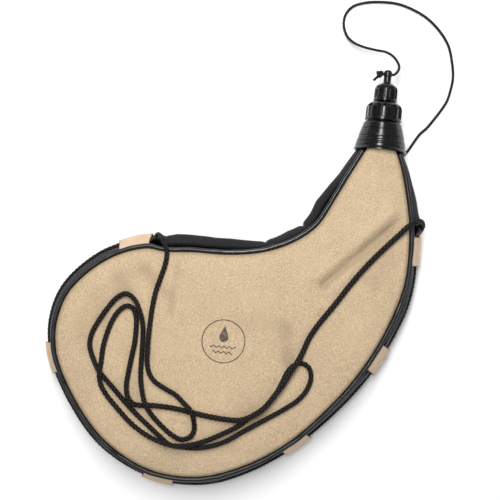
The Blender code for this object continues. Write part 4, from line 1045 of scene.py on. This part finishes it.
class BotaCordSettings(bpy.types.PropertyGroup):
    cord_colour: bpy.props.FloatVectorProperty(
        name="Cord", description="Colour of the cords", subtype="COLOR", size=3,
        min=0.0, max=1.0, default=(0.0060, 0.0055, 0.0055),
    )
    tether_colour: bpy.props.FloatVectorProperty(
        name="Tether", description="Colour of the thin cord", subtype="COLOR", size=3,
        min=0.0, max=1.0, default=(0.0130, 0.0110, 0.0080),
    )
    braid_pitch: bpy.props.FloatProperty(
        name="Braid pitch", description="Length of one turn of a strand", unit="LENGTH",
        min=0.006, max=0.03, default=0.0144,
    )
    strand_swing: bpy.props.FloatProperty(
        name="Strand swing", description="How far a strand rises and dips at a crossing", unit="LENGTH",
        min=0.0, max=0.0008, default=0.00044,
    )
    strand_half_width: bpy.props.FloatProperty(
        name="Strand half width", description="Half the width of a strand", unit="LENGTH",
        min=0.0003, max=0.0015, default=0.00086,
    )
    strand_half_thickness: bpy.props.FloatProperty(
        name="Strand half thickness", description="Half the thickness of a strand", unit="LENGTH",
        min=0.0001, max=0.0009, default=0.00060,
    )
    tether_pitch: bpy.props.FloatProperty(
        name="Tether pitch", description="Length of one turn of the thin cord's plies", unit="LENGTH",
        min=0.002, max=0.01, default=0.0056,
    )


class BotaMouthSettings(bpy.types.PropertyGroup):
    moulding_colour: bpy.props.FloatVectorProperty(
        name="Moulding", description="Colour of the collar and the caps", subtype="COLOR", size=3,
        min=0.0, max=1.0, default=(0.0045, 0.0045, 0.0052),
    )
    moulding_roughness: bpy.props.FloatProperty(
        name="Moulding roughness", description="Roughness of the polished mouldings", subtype="FACTOR",
        min=0.02, max=0.6, default=0.16,
    )
    flute_count: bpy.props.IntProperty(
        name="Flutes", description="Recessed panels round each cap", min=6, max=24, default=12,
    )
    filler_flute_depth: bpy.props.FloatProperty(
        name="Filler flute depth", description="Depth of the wide cap's recessed panels", unit="LENGTH",
        min=0.0, max=0.0020, default=0.0016,
    )
    small_flute_depth: bpy.props.FloatProperty(
        name="Small flute depth", description="Depth of the narrow cap's recessed panels", unit="LENGTH",
        min=0.0, max=0.0020, default=0.0013,
    )
    bead_depth: bpy.props.FloatProperty(
        name="Bead depth", description="Depth of the hollows between the collar's beads", unit="LENGTH",
        min=0.0, max=0.001, default=0.00032,
    )
    thread_depth: bpy.props.FloatProperty(
        name="Thread depth", description="Depth of the screw threads", unit="LENGTH",
        min=0.0, max=0.001, default=0.0005,
    )


class BotaStageSettings(bpy.types.PropertyGroup):
    floor_colour: bpy.props.FloatVectorProperty(
        name="Floor", description="Colour of the studio floor", subtype="COLOR", size=3,
        min=0.0, max=1.0, default=(0.965, 0.97, 0.98),
    )
    main_power: bpy.props.FloatProperty(
        name="Main light", description="Power of the long soft light overhead", unit="POWER",
        min=0.0, max=500.0, default=39.5,
    )
    fill_power: bpy.props.FloatProperty(
        name="Fill light", description="Power of the large soft light that lifts the shadows", unit="POWER",
        min=0.0, max=500.0, default=5.0,
    )
    room_strength: bpy.props.FloatProperty(
        name="Room", description="Strength of the even light of the room", subtype="FACTOR",
        min=0.0, max=2.0, default=0.25,
    )
    camera_height: bpy.props.FloatProperty(
        name="Camera height", description="Height of the camera over the floor", unit="LENGTH",
        min=0.3, max=5.0, default=0.9,
    )


class BOTA_OT_add_stage(bpy.types.Operator):
    """Floor, a long strip light overhead, the room's even light and the camera that looks straight down"""
    bl_idname = "bota.add_stage"
    bl_label = "Add Stage"

    def execute(self, context):
        settings = context.scene.bota_stage
        middle = STAGE_MIDDLE
        lines = np.linspace(-1.0, 1.0, 9) * FLOOR_HALF_WIDTH
        x, y = np.meshgrid(lines, lines, indexing="ij")
        mesh = surface("floor", np.stack([x, y, np.zeros_like(x)], axis=-1))
        floor = bpy.data.objects.new("floor", mesh)
        context.scene.collection.objects.link(floor)
        mesh.materials.append(floor_finish("studio_paper", settings.floor_colour))

        camera = bpy.data.cameras.new("camera")
        camera.sensor_fit = "HORIZONTAL"
        camera.angle = math.radians(CAMERA_ANGLE)
        item = bpy.data.objects.new("camera", camera)
        item.location = (middle[0], middle[1], settings.camera_height)
        item.rotation_euler = (0.0, 0.0, math.radians(CAMERA_TURN))
        context.scene.collection.objects.link(item)
        context.scene.camera = item

        world = bpy.data.worlds.new("studio")
        world.use_nodes = True
        world.node_tree.nodes["Background"].inputs["Color"].default_value = (0.94, 0.965, 1.0, 1.0)
        world.node_tree.nodes["Background"].inputs["Strength"].default_value = settings.room_strength
        context.scene.world = world
        context.scene.view_settings.view_transform = "Standard"
        place = np.array([NECK[0] - 0.31, NECK[1] + 0.76, 1.60])
        below = place - (0.0, 0.0, 1.0)
        add_light("light_main", (1.74, 0.42), settings.main_power, place, below, (1.0, 0.985, 0.965))
        place = (middle[0] + 0.90, middle[1] - 0.80, 1.30)
        fill = add_light("light_fill", (1.3, 1.3), settings.fill_power, place, middle, (0.98, 0.99, 1.0))
        fill.visible_glossy = False
        return {"FINISHED"}


class BOTA_OT_add_carry_cord(bpy.types.Operator):
    """The braided carry cord: its run round the edge and its free stretch on the panel"""
    bl_idname = "bota.add_carry_cord"
    bl_label = "Add Carry Cord"

    def braid(self, name, path, core_radius, settings, fullness=1.0):
        """Eight strands, four of each hand, round a core; strands of the two hands cross every eighth
        of a pitch, and each passes over and under in turn. fullness widens them along the path."""
        pitch = settings.braid_pitch
        phases = np.tile(np.arange(4) * math.tau / 4, 2)
        hands = np.repeat([1.0, -1.0], 4)
        middle = CORD_RADIUS - settings.strand_swing - settings.strand_half_thickness
        rings = wound_rings(
            path, phases, hands, pitch, middle, settings.strand_swing, pitch / 4,
            settings.strand_half_width, settings.strand_half_thickness, 6,
        )
        fullness = np.broadcast_to(fullness, len(path))[:, None, None]
        rings = path[:, None] + (rings - path[:, None]) * fullness
        core = tube_rings(path, core_radius, 6)[None]
        # raised is 1 where a strand passes over and 0 where it dips under; the braid finish paints shade and
        # highlight from it
        beat = np.cos(math.tau * way_along(path) / (pitch / 4))
        raised = np.concatenate([0.5 + 0.5 * hands[:, None] * beat, np.zeros((1, len(path)))])
        return strands_mesh(name, np.concatenate([rings, core]), way_along(path), raised)

    def execute(self, context):
        settings = context.scene.bota_cord
        braid = braid_finish("cord_braid", settings.cord_colour, 900.0, True)
        path = slack_path(BRAID_SPACING, context.scene.bota_skin.fold_scale)
        fullness = SLACK_FULLNESS + SLACK_FULLNESS_GAIN * smoothstep(way_along(path), *SLACK_FULLNESS_WAY)
        mesh = self.braid("carry_cord_slack_braid", path, BRAID_CORE_RADIUS, settings, fullness)
        slack = add_piece("carry_cord_slack_braid", mesh, braid, "skin", ["carry_cord_slack"])
        shares = np.linspace(*EDGE_CORD_SPAN, 2400)
        edge = even_path(edge_points(shares, edge_cord_offset(shares), EDGE_CORD_Z), BRAID_SPACING)
        mesh = self.braid("carry_cord_edge_braid", edge, BRAID_CORE_RADIUS, settings)
        add_piece("carry_cord_edge_braid", mesh, braid, "skin", ["carry_cord_edge"])
        return {"FINISHED"}


class BOTA_OT_add_tether(bpy.types.Operator):
    """The thin three-ply cord from the collar's foot to the small cap, with its knot"""
    bl_idname = "bota.add_tether"
    bl_label = "Add Tether"

    def plies(self, name, path, settings):
        """Three round plies laid up at one pitch."""
        phases = np.arange(3) * math.tau / 3
        rings = wound_rings(
            path, phases, np.ones(3), settings.tether_pitch, PLY_MIDDLE, 0.0, 1.0, PLY_RADIUS, PLY_RADIUS, 8,
        )
        return strands_mesh(name, rings, way_along(path))

    def execute(self, context):
        settings = context.scene.bota_cord
        yarn = braid_finish("tether_yarn", settings.tether_colour, 1500.0, False)
        path = tether_path(0.0005)
        split = int(np.argmin(np.linalg.norm(path - TETHER_SPLIT, axis=1)))
        stretches = (
            ("tether_cap_side", path[:split + 1], "filler", "small_lifter", path[split], path[0]),
            ("tether_collar_side", path[split:][::-1], "skin", "filler_lifter", path[-1], path[split]),
        )
        for name, part, start_body, end_body, start, end in stretches:
            piece = add_piece(name, self.plies(name, part, settings), yarn, None)
            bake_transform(piece)
        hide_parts("tether_cord")
        knot = self.knot(context, yarn)
        return {"FINISHED"}

    def knot(self, context, yarn):
        """The cord through the knob's hole, an overhand knot outside it (a trefoil drawn small) and a
        short tail."""
        settings = context.scene.bota_cord
        hole = NECK + (0.0, HOLE_Y, 0.0)
        middle = -KNOB_RADIUS - GAP - KNOT_ROOM
        turn = np.linspace(0.0, math.tau, 60)
        trefoil = KNOT_SIZE * np.column_stack([
            np.sin(turn) + 2.0 * np.sin(2.0 * turn), np.cos(turn) - 2.0 * np.cos(2.0 * turn),
            -1.6 * np.sin(3.0 * turn),
        ])
        lead = np.array([(0.0037, 0.0, 0.0), (0.0, 0.0, 0.0), (-KNOB_RADIUS - GAP, 0.0, 0.0)])
        tail = np.array([
            (middle - 0.0006, -0.0012, 0.0008), (middle - 0.0026, -0.0036, 0.0002),
            (-0.0112, -0.0058, -0.0006),
        ])
        lead_path = even_path(smooth_route(lead, 8), 0.0004)
        knot_path = even_path(trefoil + (middle, 0.0, 0.0), 0.0004)
        tail_path = even_path(smooth_route(tail, 8), 0.0004)
        path = np.concatenate([lead_path, knot_path, tail_path])
        path = even_path(smooth_route(path[::3], 3), 0.00045) + hole
        mesh = self.plies("tether_knot_tied", path, settings)
        return add_piece("tether_knot_tied", mesh, yarn, "small", ["tether_knot"])


class BOTA_OT_add_panels(bpy.types.Operator):
    """The front and back suede panels"""
    bl_idname = "bota.add_panels"
    bl_label = "Add Suede Panels"

    def execute(self, context):
        settings = context.scene.bota_skin
        places = panel_places(OUTLINE, settings.panel_columns)
        flat = places.reshape(-1, 2)
        distance, share = nearest_edge(flat)
        puckers = line_waves(share * WAY_LENGTH, 3, 12, 0.006, 0.016)
        near_seam = np.exp(-distance / 0.007)
        pucker = settings.pucker_depth * puckers * near_seam * smoothstep(distance, 0.0, 0.002)
        rolled = 0.0011 * np.exp(-((distance / 0.0012) ** 2))
        folds = fold_relief(flat, distance, settings.fold_scale)
        path = slack_path(0.002, settings.fold_scale)
        lifts = path[:, 2] - front_height(nearest_edge(path[:, :2])[0]) - CORD_RADIUS
        press = 0.00030 * cord_press(flat, path, lifts) * smoothstep(distance, 0.0, 0.006)
        front = front_height(distance) + folds + pucker - rolled - press
        shape = places.shape[:2]
        grid = raised_to(places, front)
        # The fold attribute holds the folds less twice the cord's press; the suede finish paints shade from it in
        # the valleys and under the cord
        values = {"seam": distance.reshape(shape), "fold": (folds - press * 2.0).reshape(shape)}
        mesh = surface("front_suede", grid, values=values)
        material = suede_finish("suede_front", settings.suede_colour, True)
        piece = add_piece("front_suede", mesh, material, "skin", ["front_panel"])
        add_wall(piece, PANEL_THICKNESS)

        plain = back_height(distance)
        ripples = 0.0006 * (0.5 + 0.5 * plane_waves(flat, 21, 8, 0.02, 0.06)) * smoothstep(plain, 0.0, 0.002)
        back = np.maximum(plain + rolled - pucker + ripples, 0.0)
        grid = raised_to(places, back)[:, ::-1]
        values = {"seam": distance.reshape(shape)[:, ::-1], "fold": np.zeros(shape)}
        mesh = surface("back_suede", grid, values=values)
        material = suede_finish("suede_back", settings.suede_colour, False)
        piece = add_piece("back_suede", mesh, material, "skin", ["back_panel"])
        add_wall(piece, PANEL_THICKNESS)
        return {"FINISHED"}


class BOTA_OT_add_pipings(bpy.types.Operator):
    """The round glossy pipings in the two seams"""
    bl_idname = "bota.add_pipings"
    bl_label = "Add Pipings"

    def execute(self, context):
        settings = context.scene.bota_skin
        gloss = piping_finish("gloss_piping", settings.piping_colour)
        start = WAY_ROUND[OUTLINE_STEPS] + PIPING_START / WAY_LENGTH
        shares = np.linspace(start, WAY_ROUND[-OUTLINE_STEPS - 1] - PIPING_START / WAY_LENGTH, 900)
        way = shares * WAY_LENGTH
        for name, node, height, seed in (
            ("front_piping_round", "front_piping", FRONT_SEAM_Z, 31),
            ("back_piping_round", "back_piping", BACK_SEAM_Z, 32),
        ):
            sway = 0.00012 * line_waves(way, seed, 9, 0.012, 0.040)
            lift = 0.00010 * line_waves(way, seed + 9, 9, 0.010, 0.030)
            path = edge_points(shares, SEAM_OFFSET + sway, height + lift)
            uneven = 1.0 + 0.02 * line_waves(way, seed + 5, 6, 0.01, 0.03)
            radii = rounded_ends(way_along(path), PIPING_RADIUS) * uneven
            mesh = strands_mesh(name, tube_rings(path, radii, 20)[None], way_along(path))
            add_piece(name, mesh, gloss, "skin", [node])
        return {"FINISHED"}


class BOTA_OT_add_gusset(bpy.types.Operator):
    """The ribbed gusset that puffs out between the seams, with its wrinkles and creases, pressed in by
    the ends of the free cord"""
    bl_idname = "bota.add_gusset"
    bl_label = "Add Gusset"

    def execute(self, context):
        settings = context.scene.bota_skin
        shares = np.linspace(0.0, 1.0, 1101)[:, None]
        section = np.linspace(0.0, 1.0, 27)[None, :]
        way = shares * WAY_LENGTH
        belly = np.sin(math.pi * section)
        swell = sum(
            height * np.exp(-(((shares - middle) / width) ** 2)) for middle, width, height in GUSSET_SWELLS
        )
        from_loop = np.abs(shares - np.array(LOOP_PLACE_SHARES)).min(axis=1, keepdims=True)
        curl = 1.0 + 1.1 * smoothstep(from_loop, 1.1 * HALF_LOOP, 2.4 * HALF_LOOP)
        swell = swell * smoothstep(from_loop, HALF_LOOP, 1.14 * HALF_LOOP)
        lean = 0.004 * line_waves(way, 44, 5, 0.05, 0.12) * (section - 0.5)
        wrinkles = line_waves(way + lean, 41, 14, 0.012, 0.040)
        loose = 0.35 + 0.65 * smoothstep(bulge_at(shares), 0.004, 0.010)
        offset = SEAM_OFFSET + (bulge_at(shares) + GUSSET_SWELL * swell) * belly**curl
        offset = offset - settings.wrinkle_depth * (0.5 + 0.5 * wrinkles) * belly * loose
        for place, slant, width, depth in GUSSET_CREASES:
            away = (way - place * WAY_LENGTH - slant * (section - 0.5) * 2.0) / width
            offset = offset - depth * np.exp(-(away**2)) * belly
        height = gusset_height(section) + 0.0004 * line_waves(way, 47, 8, 0.02, 0.05) * belly
        cord = slack_path(0.001, settings.fold_scale)
        cord = np.concatenate([cord[:45], cord[-45:]])
        for _ in range(8):
            places = edge_points(shares, offset, height)
            away = np.linalg.norm(places[:, :, None] - cord, axis=-1).min(axis=-1)
            offset = offset - np.maximum(CORD_RADIUS + 0.0004 - away, 0.0)
        grid = edge_points(shares, offset, height)[:, ::-1]
        # Distance from the nearer seam, which the gusset finish uses for its painted shade
        from_seam = np.minimum(section, 1.0 - section) * (GUSSET_TOP_Z - GUSSET_FOOT_Z) + 0.0 * shares
        mesh = surface("gusset_cloth", grid, values={"seam": from_seam[:, ::-1]})
        material = gusset_finish("ribbed_gusset", settings.gusset_colour)
        piece = add_piece("gusset_cloth", mesh, material, "skin", ["gusset"])
        add_wall(piece, GUSSET_THICKNESS)
        return {"FINISHED"}


class BOTA_OT_add_loops(bpy.types.Operator):
    """The six leather loops over the carry cord"""
    bl_idname = "bota.add_loops"
    bl_label = "Add Leather Loops"

    def execute(self, context):
        leather = loop_leather_finish("strap_leather", context.scene.bota_skin.loop_colour)
        for number, middle in enumerate(LOOP_PLACE_SHARES):
            grid, cut = self.loop_grid(middle, LOOP_LEANS[number])
            name = f"carry_loop_{number + 1}"
            mesh = surface(name + "_leather", grid[:, ::-1], values={"cut": cut[:, ::-1]})
            piece = add_piece(name + "_leather", mesh, leather, "skin", [name])
            add_wall(piece, LOOP_THICKNESS, 0.0)
            soft = piece.modifiers.new("Cut edge", "BEVEL")
            soft.width = 0.00018
            soft.segments = 2
            soft.limit_method = "ANGLE"
            soft.angle_limit = math.radians(50)
        return {"FINISHED"}

    def loop_grid(self, middle, lean):
        """Rows along the bag, columns round the cord: down the gusset, round the cord at a fixed distance
        and back into the other seam. The loop leans along the edge as its height falls."""
        half = LOOP_THICKNESS / 2
        shares = middle + np.linspace(-HALF_LOOP, HALF_LOOP, 25)
        wrap = CORD_RADIUS + GAP + half
        follow = np.array([0.035, 0.08, 0.14, 0.20, 0.27, 0.34, 0.41, 0.48])
        turn = np.radians(np.arange(60, -101, -12))
        cord = edge_cord_offset(shares)[:, None]
        offset = np.concatenate([
            beside_gusset(shares[:, None], follow[None], half),
            cord + wrap * np.cos(turn)[None],
            beside_gusset(shares[:, None], np.full((1, 1), 0.965), half),
        ], axis=1)
        height = np.concatenate([
            gusset_height(follow), EDGE_CORD_Z + wrap * np.sin(turn), [gusset_height(0.965)],
        ])
        down = np.linspace(0.5, -0.5, len(height))
        leaning = shares[:, None] + lean * down[None] / WAY_LENGTH
        grid = edge_points(leaning, offset, np.broadcast_to(height, offset.shape))
        way = np.linspace(0.0, LOOP_LENGTH, len(shares))
        cut = np.broadcast_to(np.minimum(way, LOOP_LENGTH - way)[:, None], offset.shape)
        return grid, cut


class BOTA_OT_add_bladder(bpy.types.Operator):
    """The thin inner bag"""
    bl_idname = "bota.add_bladder"
    bl_label = "Add Bladder"

    def execute(self, context):
        inner = OUTLINE - OUTWARD * 0.0012
        places = panel_places(inner, 41)[::4]
        distance = nearest_edge(places.reshape(-1, 2))[0]
        top = raised_to(places, front_height(distance) - BLADDER_DROP)
        foot = raised_to(places, back_height(distance) + PANEL_THICKNESS + BLADDER_WALL)[:, ::-1]
        side_offset = gusset_offset(WAY_ROUND, 0.5) * 0.78 - GUSSET_THICKNESS - BLADDER_WALL
        side = edge_points(WAY_ROUND, side_offset, NECK[2])
        left, right = side[:ROWS][::4, None], side[ROWS - 1:][::-1][::4, None]
        rings = np.concatenate([top, right, foot, left], axis=1)
        below = rings[:, :, 1].max(axis=1) < NECK[1] - 0.012
        rings = rings[below][:-1]
        spread = rings[0][:, [0, 2]] - NECK[[0, 2]]
        circle = unit(spread) * (SKIRT_RADIUS - SKIRT_WALL / 2)
        collar = np.column_stack([
            NECK[0] + circle[:, 0], np.full(len(circle), NECK[1] - 0.0023), NECK[2] + circle[:, 1],
        ])
        rings = np.concatenate([collar[None], rings])
        mesh = surface("bladder_latex", rings, wrap_columns=True)
        material = rubber_finish("latex", (0.66, 0.57, 0.43), 0.55, 60.0)
        add_piece("bladder_latex", mesh, material, "skin", ["bladder"])
        return {"FINISHED"}


class BOTA_OT_add_mouthpiece(bpy.types.Operator):
    """Collar, threaded insert, fluted filler cap with its spout, and fluted small cap with its knob"""
    bl_idname = "bota.add_mouthpiece"
    bl_label = "Add Mouthpiece"

    def execute(self, context):
        settings = context.scene.bota_mouth
        moulding = bakelite_finish("polished_moulding", settings.moulding_colour, settings.moulding_roughness)
        insert = bakelite_finish("threaded_insert", settings.moulding_colour, 0.34)
        self.add_turned(
            "collar_turned", self.collar_profile(settings), 256, None,
            moulding, "bakelite", "skin", "collar", True,
        )
        self.add_turned(
            "ferrule_turned", self.ferrule_profile(), 192, self.ferrule_relief,
            insert, "insert", "skin", "ferrule", True,
        )
        self.add_turned(
            "filler_cap_turned", self.filler_profile(), 384, self.filler_relief,
            moulding, "bakelite", "filler", "filler_cap", True,
        )
        self.add_turned(
            "small_cap_turned", self.small_profile(), 384, self.small_relief,
            moulding, "bakelite", "small", "small_cap", False,
        )
        red = rubber_finish("seal_red_rubber", (0.42, 0.09, 0.06), 0.62, 220.0)
        for node in ("filler_seal", "small_seal"):
            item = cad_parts[node]
            item.data.materials.clear()
            item.data.materials.append(red)
        return {"FINISHED"}

    def add_turned(self, name, profile, steps, relief, material, slot, body, node, closed):
        """A turned piece, its section closed on itself or meeting the axis at both ends."""
        grid = turned_grid(profile, steps, relief)
        mesh = surface(name, grid, wrap_rows=closed, wrap_columns=True, sharp=38)
        add_piece(name, mesh, material, body, [node])

    def collar_profile(self, settings):
        """The collar's side from a table of heights and radii, with a groove and a row of beads: each bead
        is half an ellipse on a side set in by the bead's depth."""
        foot = COLLAR_HEIGHT - COLLAR_SHOULDER
        height = np.linspace(foot, 0.0, 190)[1:]
        table = np.array(COLLAR_SIDE)
        cone = np.interp(height, table[:, 0], table[:, 1])
        beads = sum(
            np.sqrt(np.clip(1.0 - ((height - middle) / half) ** 2, 0.0, 1.0)) for middle, half in COLLAR_BEADS
        )
        low = height < COLLAR_BEADS[0][0] + COLLAR_BEADS[0][1] + 0.0003
        radius = cone - settings.bead_depth * np.where(low, 1.0 - beads, 0.0)
        radius -= 0.0004 * np.exp(-(((height - COLLAR_GROOVE_Y) / 0.00022) ** 2))
        ceiling = COLLAR_HEIGHT - COLLAR_CEILING
        hole = TUBE_RADIUS + GAP
        outer = shoulder(COLLAR_TOP_RADIUS, COLLAR_HEIGHT, COLLAR_SHOULDER_WIDTH, COLLAR_SHOULDER)
        inner = softened([
            (COLLAR_BASE_RADIUS - COLLAR_WALL, 0.0), (COLLAR_TOP_RADIUS - COLLAR_WALL, ceiling),
            (hole, ceiling), (hole, COLLAR_HEIGHT),
        ], 0.0002, False)
        section = np.concatenate([outer, np.column_stack([radius, height]), inner])
        return filled_in(section, 0.0012, True)

    def ferrule_profile(self):
        """The insert's section: mouth tube, flange, waist and the skirt inside the neck."""
        top = COLLAR_HEIGHT - COLLAR_CEILING - GAP
        foot = top - 0.0018
        section = softened([
            (TUBE_RADIUS, FERRULE_TOP), (TUBE_RADIUS, top), (FLANGE_RADIUS, top), (FLANGE_RADIUS, foot),
            (WAIST_RADIUS, foot), (WAIST_RADIUS, foot - 0.005), (SKIRT_RADIUS, 0.0085), (SKIRT_RADIUS, -0.002),
            (SKIRT_RADIUS - SKIRT_WALL, -0.002), (SKIRT_RADIUS - SKIRT_WALL, 0.0068),
            (BORE_RADIUS, 0.0123), (BORE_RADIUS, FERRULE_TOP),
        ], 0.00025, True)
        return filled_in(section, 0.00028, True)

    def ferrule_relief(self, radius, height, turn):
        """The thread on the mouth's tube."""
        depth = bpy.context.scene.bota_mouth.thread_depth
        outer = (radius > TUBE_RADIUS - 0.0004) & (height > COLLAR_HEIGHT - 0.001)
        low, high = COLLAR_HEIGHT + 0.0004, FERRULE_TOP - 0.0004
        return thread_relief(height, turn, FILLER_PITCH, low, high, depth) * outer

    def filler_profile(self):
        """The wide cap's section: spout, shoulder, side, bore and jet."""
        section = softened([
            (SPOUT_TIP_RADIUS - 0.0006, SPOUT_TOP), (SPOUT_TIP_RADIUS, SPOUT_TOP - 0.0006),
            (SPOUT_RADIUS, SPOUT_TOP - 0.0042), (SPOUT_RADIUS, FILLER_TOP),
        ], 0.0003, False)
        side = softened([
            (FILLER_RADIUS, FILLER_TOP - FILLER_SHOULDER_HEIGHT), (FILLER_RADIUS, FILLER_FOOT + 0.0016),
            (FILLER_RADIUS + CAP_FLARE, FILLER_FOOT + 0.0010), (FILLER_RADIUS + CAP_FLARE, FILLER_FOOT),
            (TUBE_RADIUS + GAP, FILLER_FOOT), (TUBE_RADIUS + GAP, FILLER_CEILING),
            (JET_RADIUS, FILLER_CEILING), (JET_RADIUS, SPOUT_TOP),
        ], 0.00035, False)
        outer = shoulder(FILLER_RADIUS, FILLER_TOP, FILLER_SHOULDER_WIDTH, FILLER_SHOULDER_HEIGHT)
        return filled_in(np.concatenate([section, outer, side]), 0.00026, True)

    def filler_relief(self, radius, height, turn):
        """Flutes on the side, threads on the spout and in the bore."""
        settings = bpy.context.scene.bota_mouth
        pitch = math.tau * FILLER_RADIUS / settings.flute_count
        flutes = arched_flutes(
            radius, height, turn, settings.flute_count, pitch * 0.43, settings.filler_flute_depth,
            FILLER_FOOT + 0.0021, FILLER_TOP - 0.0026, 0.0007,
        ) * (radius > 0.0118)
        depth = settings.thread_depth
        spout = thread_relief(height, turn, SMALL_PITCH, FILLER_TOP + 0.0008, SPOUT_TOP - 0.0044, depth)
        on_spout = (radius > SPOUT_RADIUS - 0.0004) & (radius < SPOUT_RADIUS + 0.0002)
        spout = spout * (on_spout & (height > FILLER_TOP))
        bore = thread_relief(height, turn, FILLER_PITCH, FILLER_FOOT + 0.0006, FILLER_CEILING - 0.0010, depth)
        return flutes + spout + bore * (np.abs(radius - TUBE_RADIUS - GAP) < 0.0001)

    def small_profile(self):
        """The narrow cap's section: knob, shoulder, side and bore, from the axis back to the axis."""
        knob = [(KNOB_RADIUS * out, SMALL_TOP + (KNOB_TOP - SMALL_TOP) * up) for out, up in KNOB_SHARES]
        section = softened(knob, 0.0007, False)
        side = softened([
            (SMALL_RADIUS, SMALL_TOP - SMALL_SHOULDER_HEIGHT), (SMALL_RADIUS, SMALL_FOOT + 0.0014),
            (SMALL_RADIUS + CAP_FLARE, SMALL_FOOT + 0.0009), (SMALL_RADIUS + CAP_FLARE, SMALL_FOOT),
            (SPOUT_RADIUS + GAP, SMALL_FOOT), (SPOUT_RADIUS + GAP, SMALL_CEILING), (0.0, SMALL_CEILING),
        ], 0.0003, False)
        outer = shoulder(SMALL_RADIUS, SMALL_TOP, SMALL_SHOULDER_WIDTH, SMALL_SHOULDER_HEIGHT)
        outer = [place for place in outer if place[0] > knob[-1][0] + 0.0002]
        return filled_in(np.concatenate([section, outer, side]), 0.00024, False)

    def small_relief(self, radius, height, turn):
        """Flutes on the side, the thread in the bore, and a hollow on each side of the knob where the
        tether goes through."""
        settings = bpy.context.scene.bota_mouth
        pitch = math.tau * SMALL_RADIUS / settings.flute_count
        flutes = arched_flutes(
            radius, height, turn, settings.flute_count, pitch * 0.425, settings.small_flute_depth,
            SMALL_FOOT + 0.0019, SMALL_TOP - 0.0022, 0.0006,
        ) * ((radius > 0.0072) & (height < SMALL_TOP))
        low, high = SMALL_FOOT + 0.0006, SPOUT_TOP - 0.0044
        bore = thread_relief(height, turn, SMALL_PITCH, low, high, settings.thread_depth)
        bore = bore * (np.abs(radius - SPOUT_RADIUS - GAP) < 0.0001)
        away = np.hypot(height - HOLE_Y, radius * np.cos(turn))
        hole = -0.0011 * (1.0 - smoothstep(away, 0.0008, 0.0015)) * (height > SMALL_TOP + 0.003)
        return flutes + bore + hole


class BOTA_PT_sidebar(bpy.types.Panel):
    """Sizes, colours and the pieces of the bota bag"""
    bl_idname = "BOTA_PT_sidebar"
    bl_label = "Bota Bag"
    bl_space_type = "VIEW_3D"
    bl_region_type = "UI"
    bl_category = "Bota Bag"

    def draw(self, context):
        layout = self.layout
        for operator in OPERATORS:
            layout.operator(operator.bl_idname)
        for key in SETTINGS:
            group = getattr(context.scene, key)
            box = layout.box()
            for name in group.bl_rna.properties.keys():
                if name not in ("rna_type", "name"):
                    box.prop(group, name)


SETTINGS = {
    "bota_skin": BotaSkinSettings,
    "bota_cord": BotaCordSettings,
    "bota_mouth": BotaMouthSettings,
    "bota_stage": BotaStageSettings,
}
OPERATORS = (
    BOTA_OT_add_stage, BOTA_OT_add_carry_cord, BOTA_OT_add_tether, BOTA_OT_add_panels, BOTA_OT_add_pipings,
    BOTA_OT_add_gusset, BOTA_OT_add_loops, BOTA_OT_add_bladder, BOTA_OT_add_mouthpiece,
)


def register():
    """Register the settings, the operators and the sidebar."""
    for key, settings in SETTINGS.items():
        bpy.utils.register_class(settings)
        setattr(bpy.types.Scene, key, bpy.props.PointerProperty(type=settings))
    for operator in OPERATORS:
        bpy.utils.register_class(operator)
    bpy.utils.register_class(BOTA_PT_sidebar)


def unregister():
    """Take the sidebar, the operators and the settings out again."""
    bpy.utils.unregister_class(BOTA_PT_sidebar)
    for operator in reversed(OPERATORS):
        bpy.utils.unregister_class(operator)
    for key, settings in SETTINGS.items():
        delattr(bpy.types.Scene, key)
        bpy.utils.unregister_class(settings)


def main():
    """Build every piece in order."""
    register()
    bpy.ops.bota.add_stage()
    bpy.ops.bota.add_carry_cord()
    bpy.ops.bota.add_tether()
    bpy.ops.bota.add_panels()
    bpy.ops.bota.add_pipings()
    bpy.ops.bota.add_gusset()
    bpy.ops.bota.add_loops()
    bpy.ops.bota.add_bladder()
    bpy.ops.bota.add_mouthpiece()


if __name__ == "__main__":
    main()
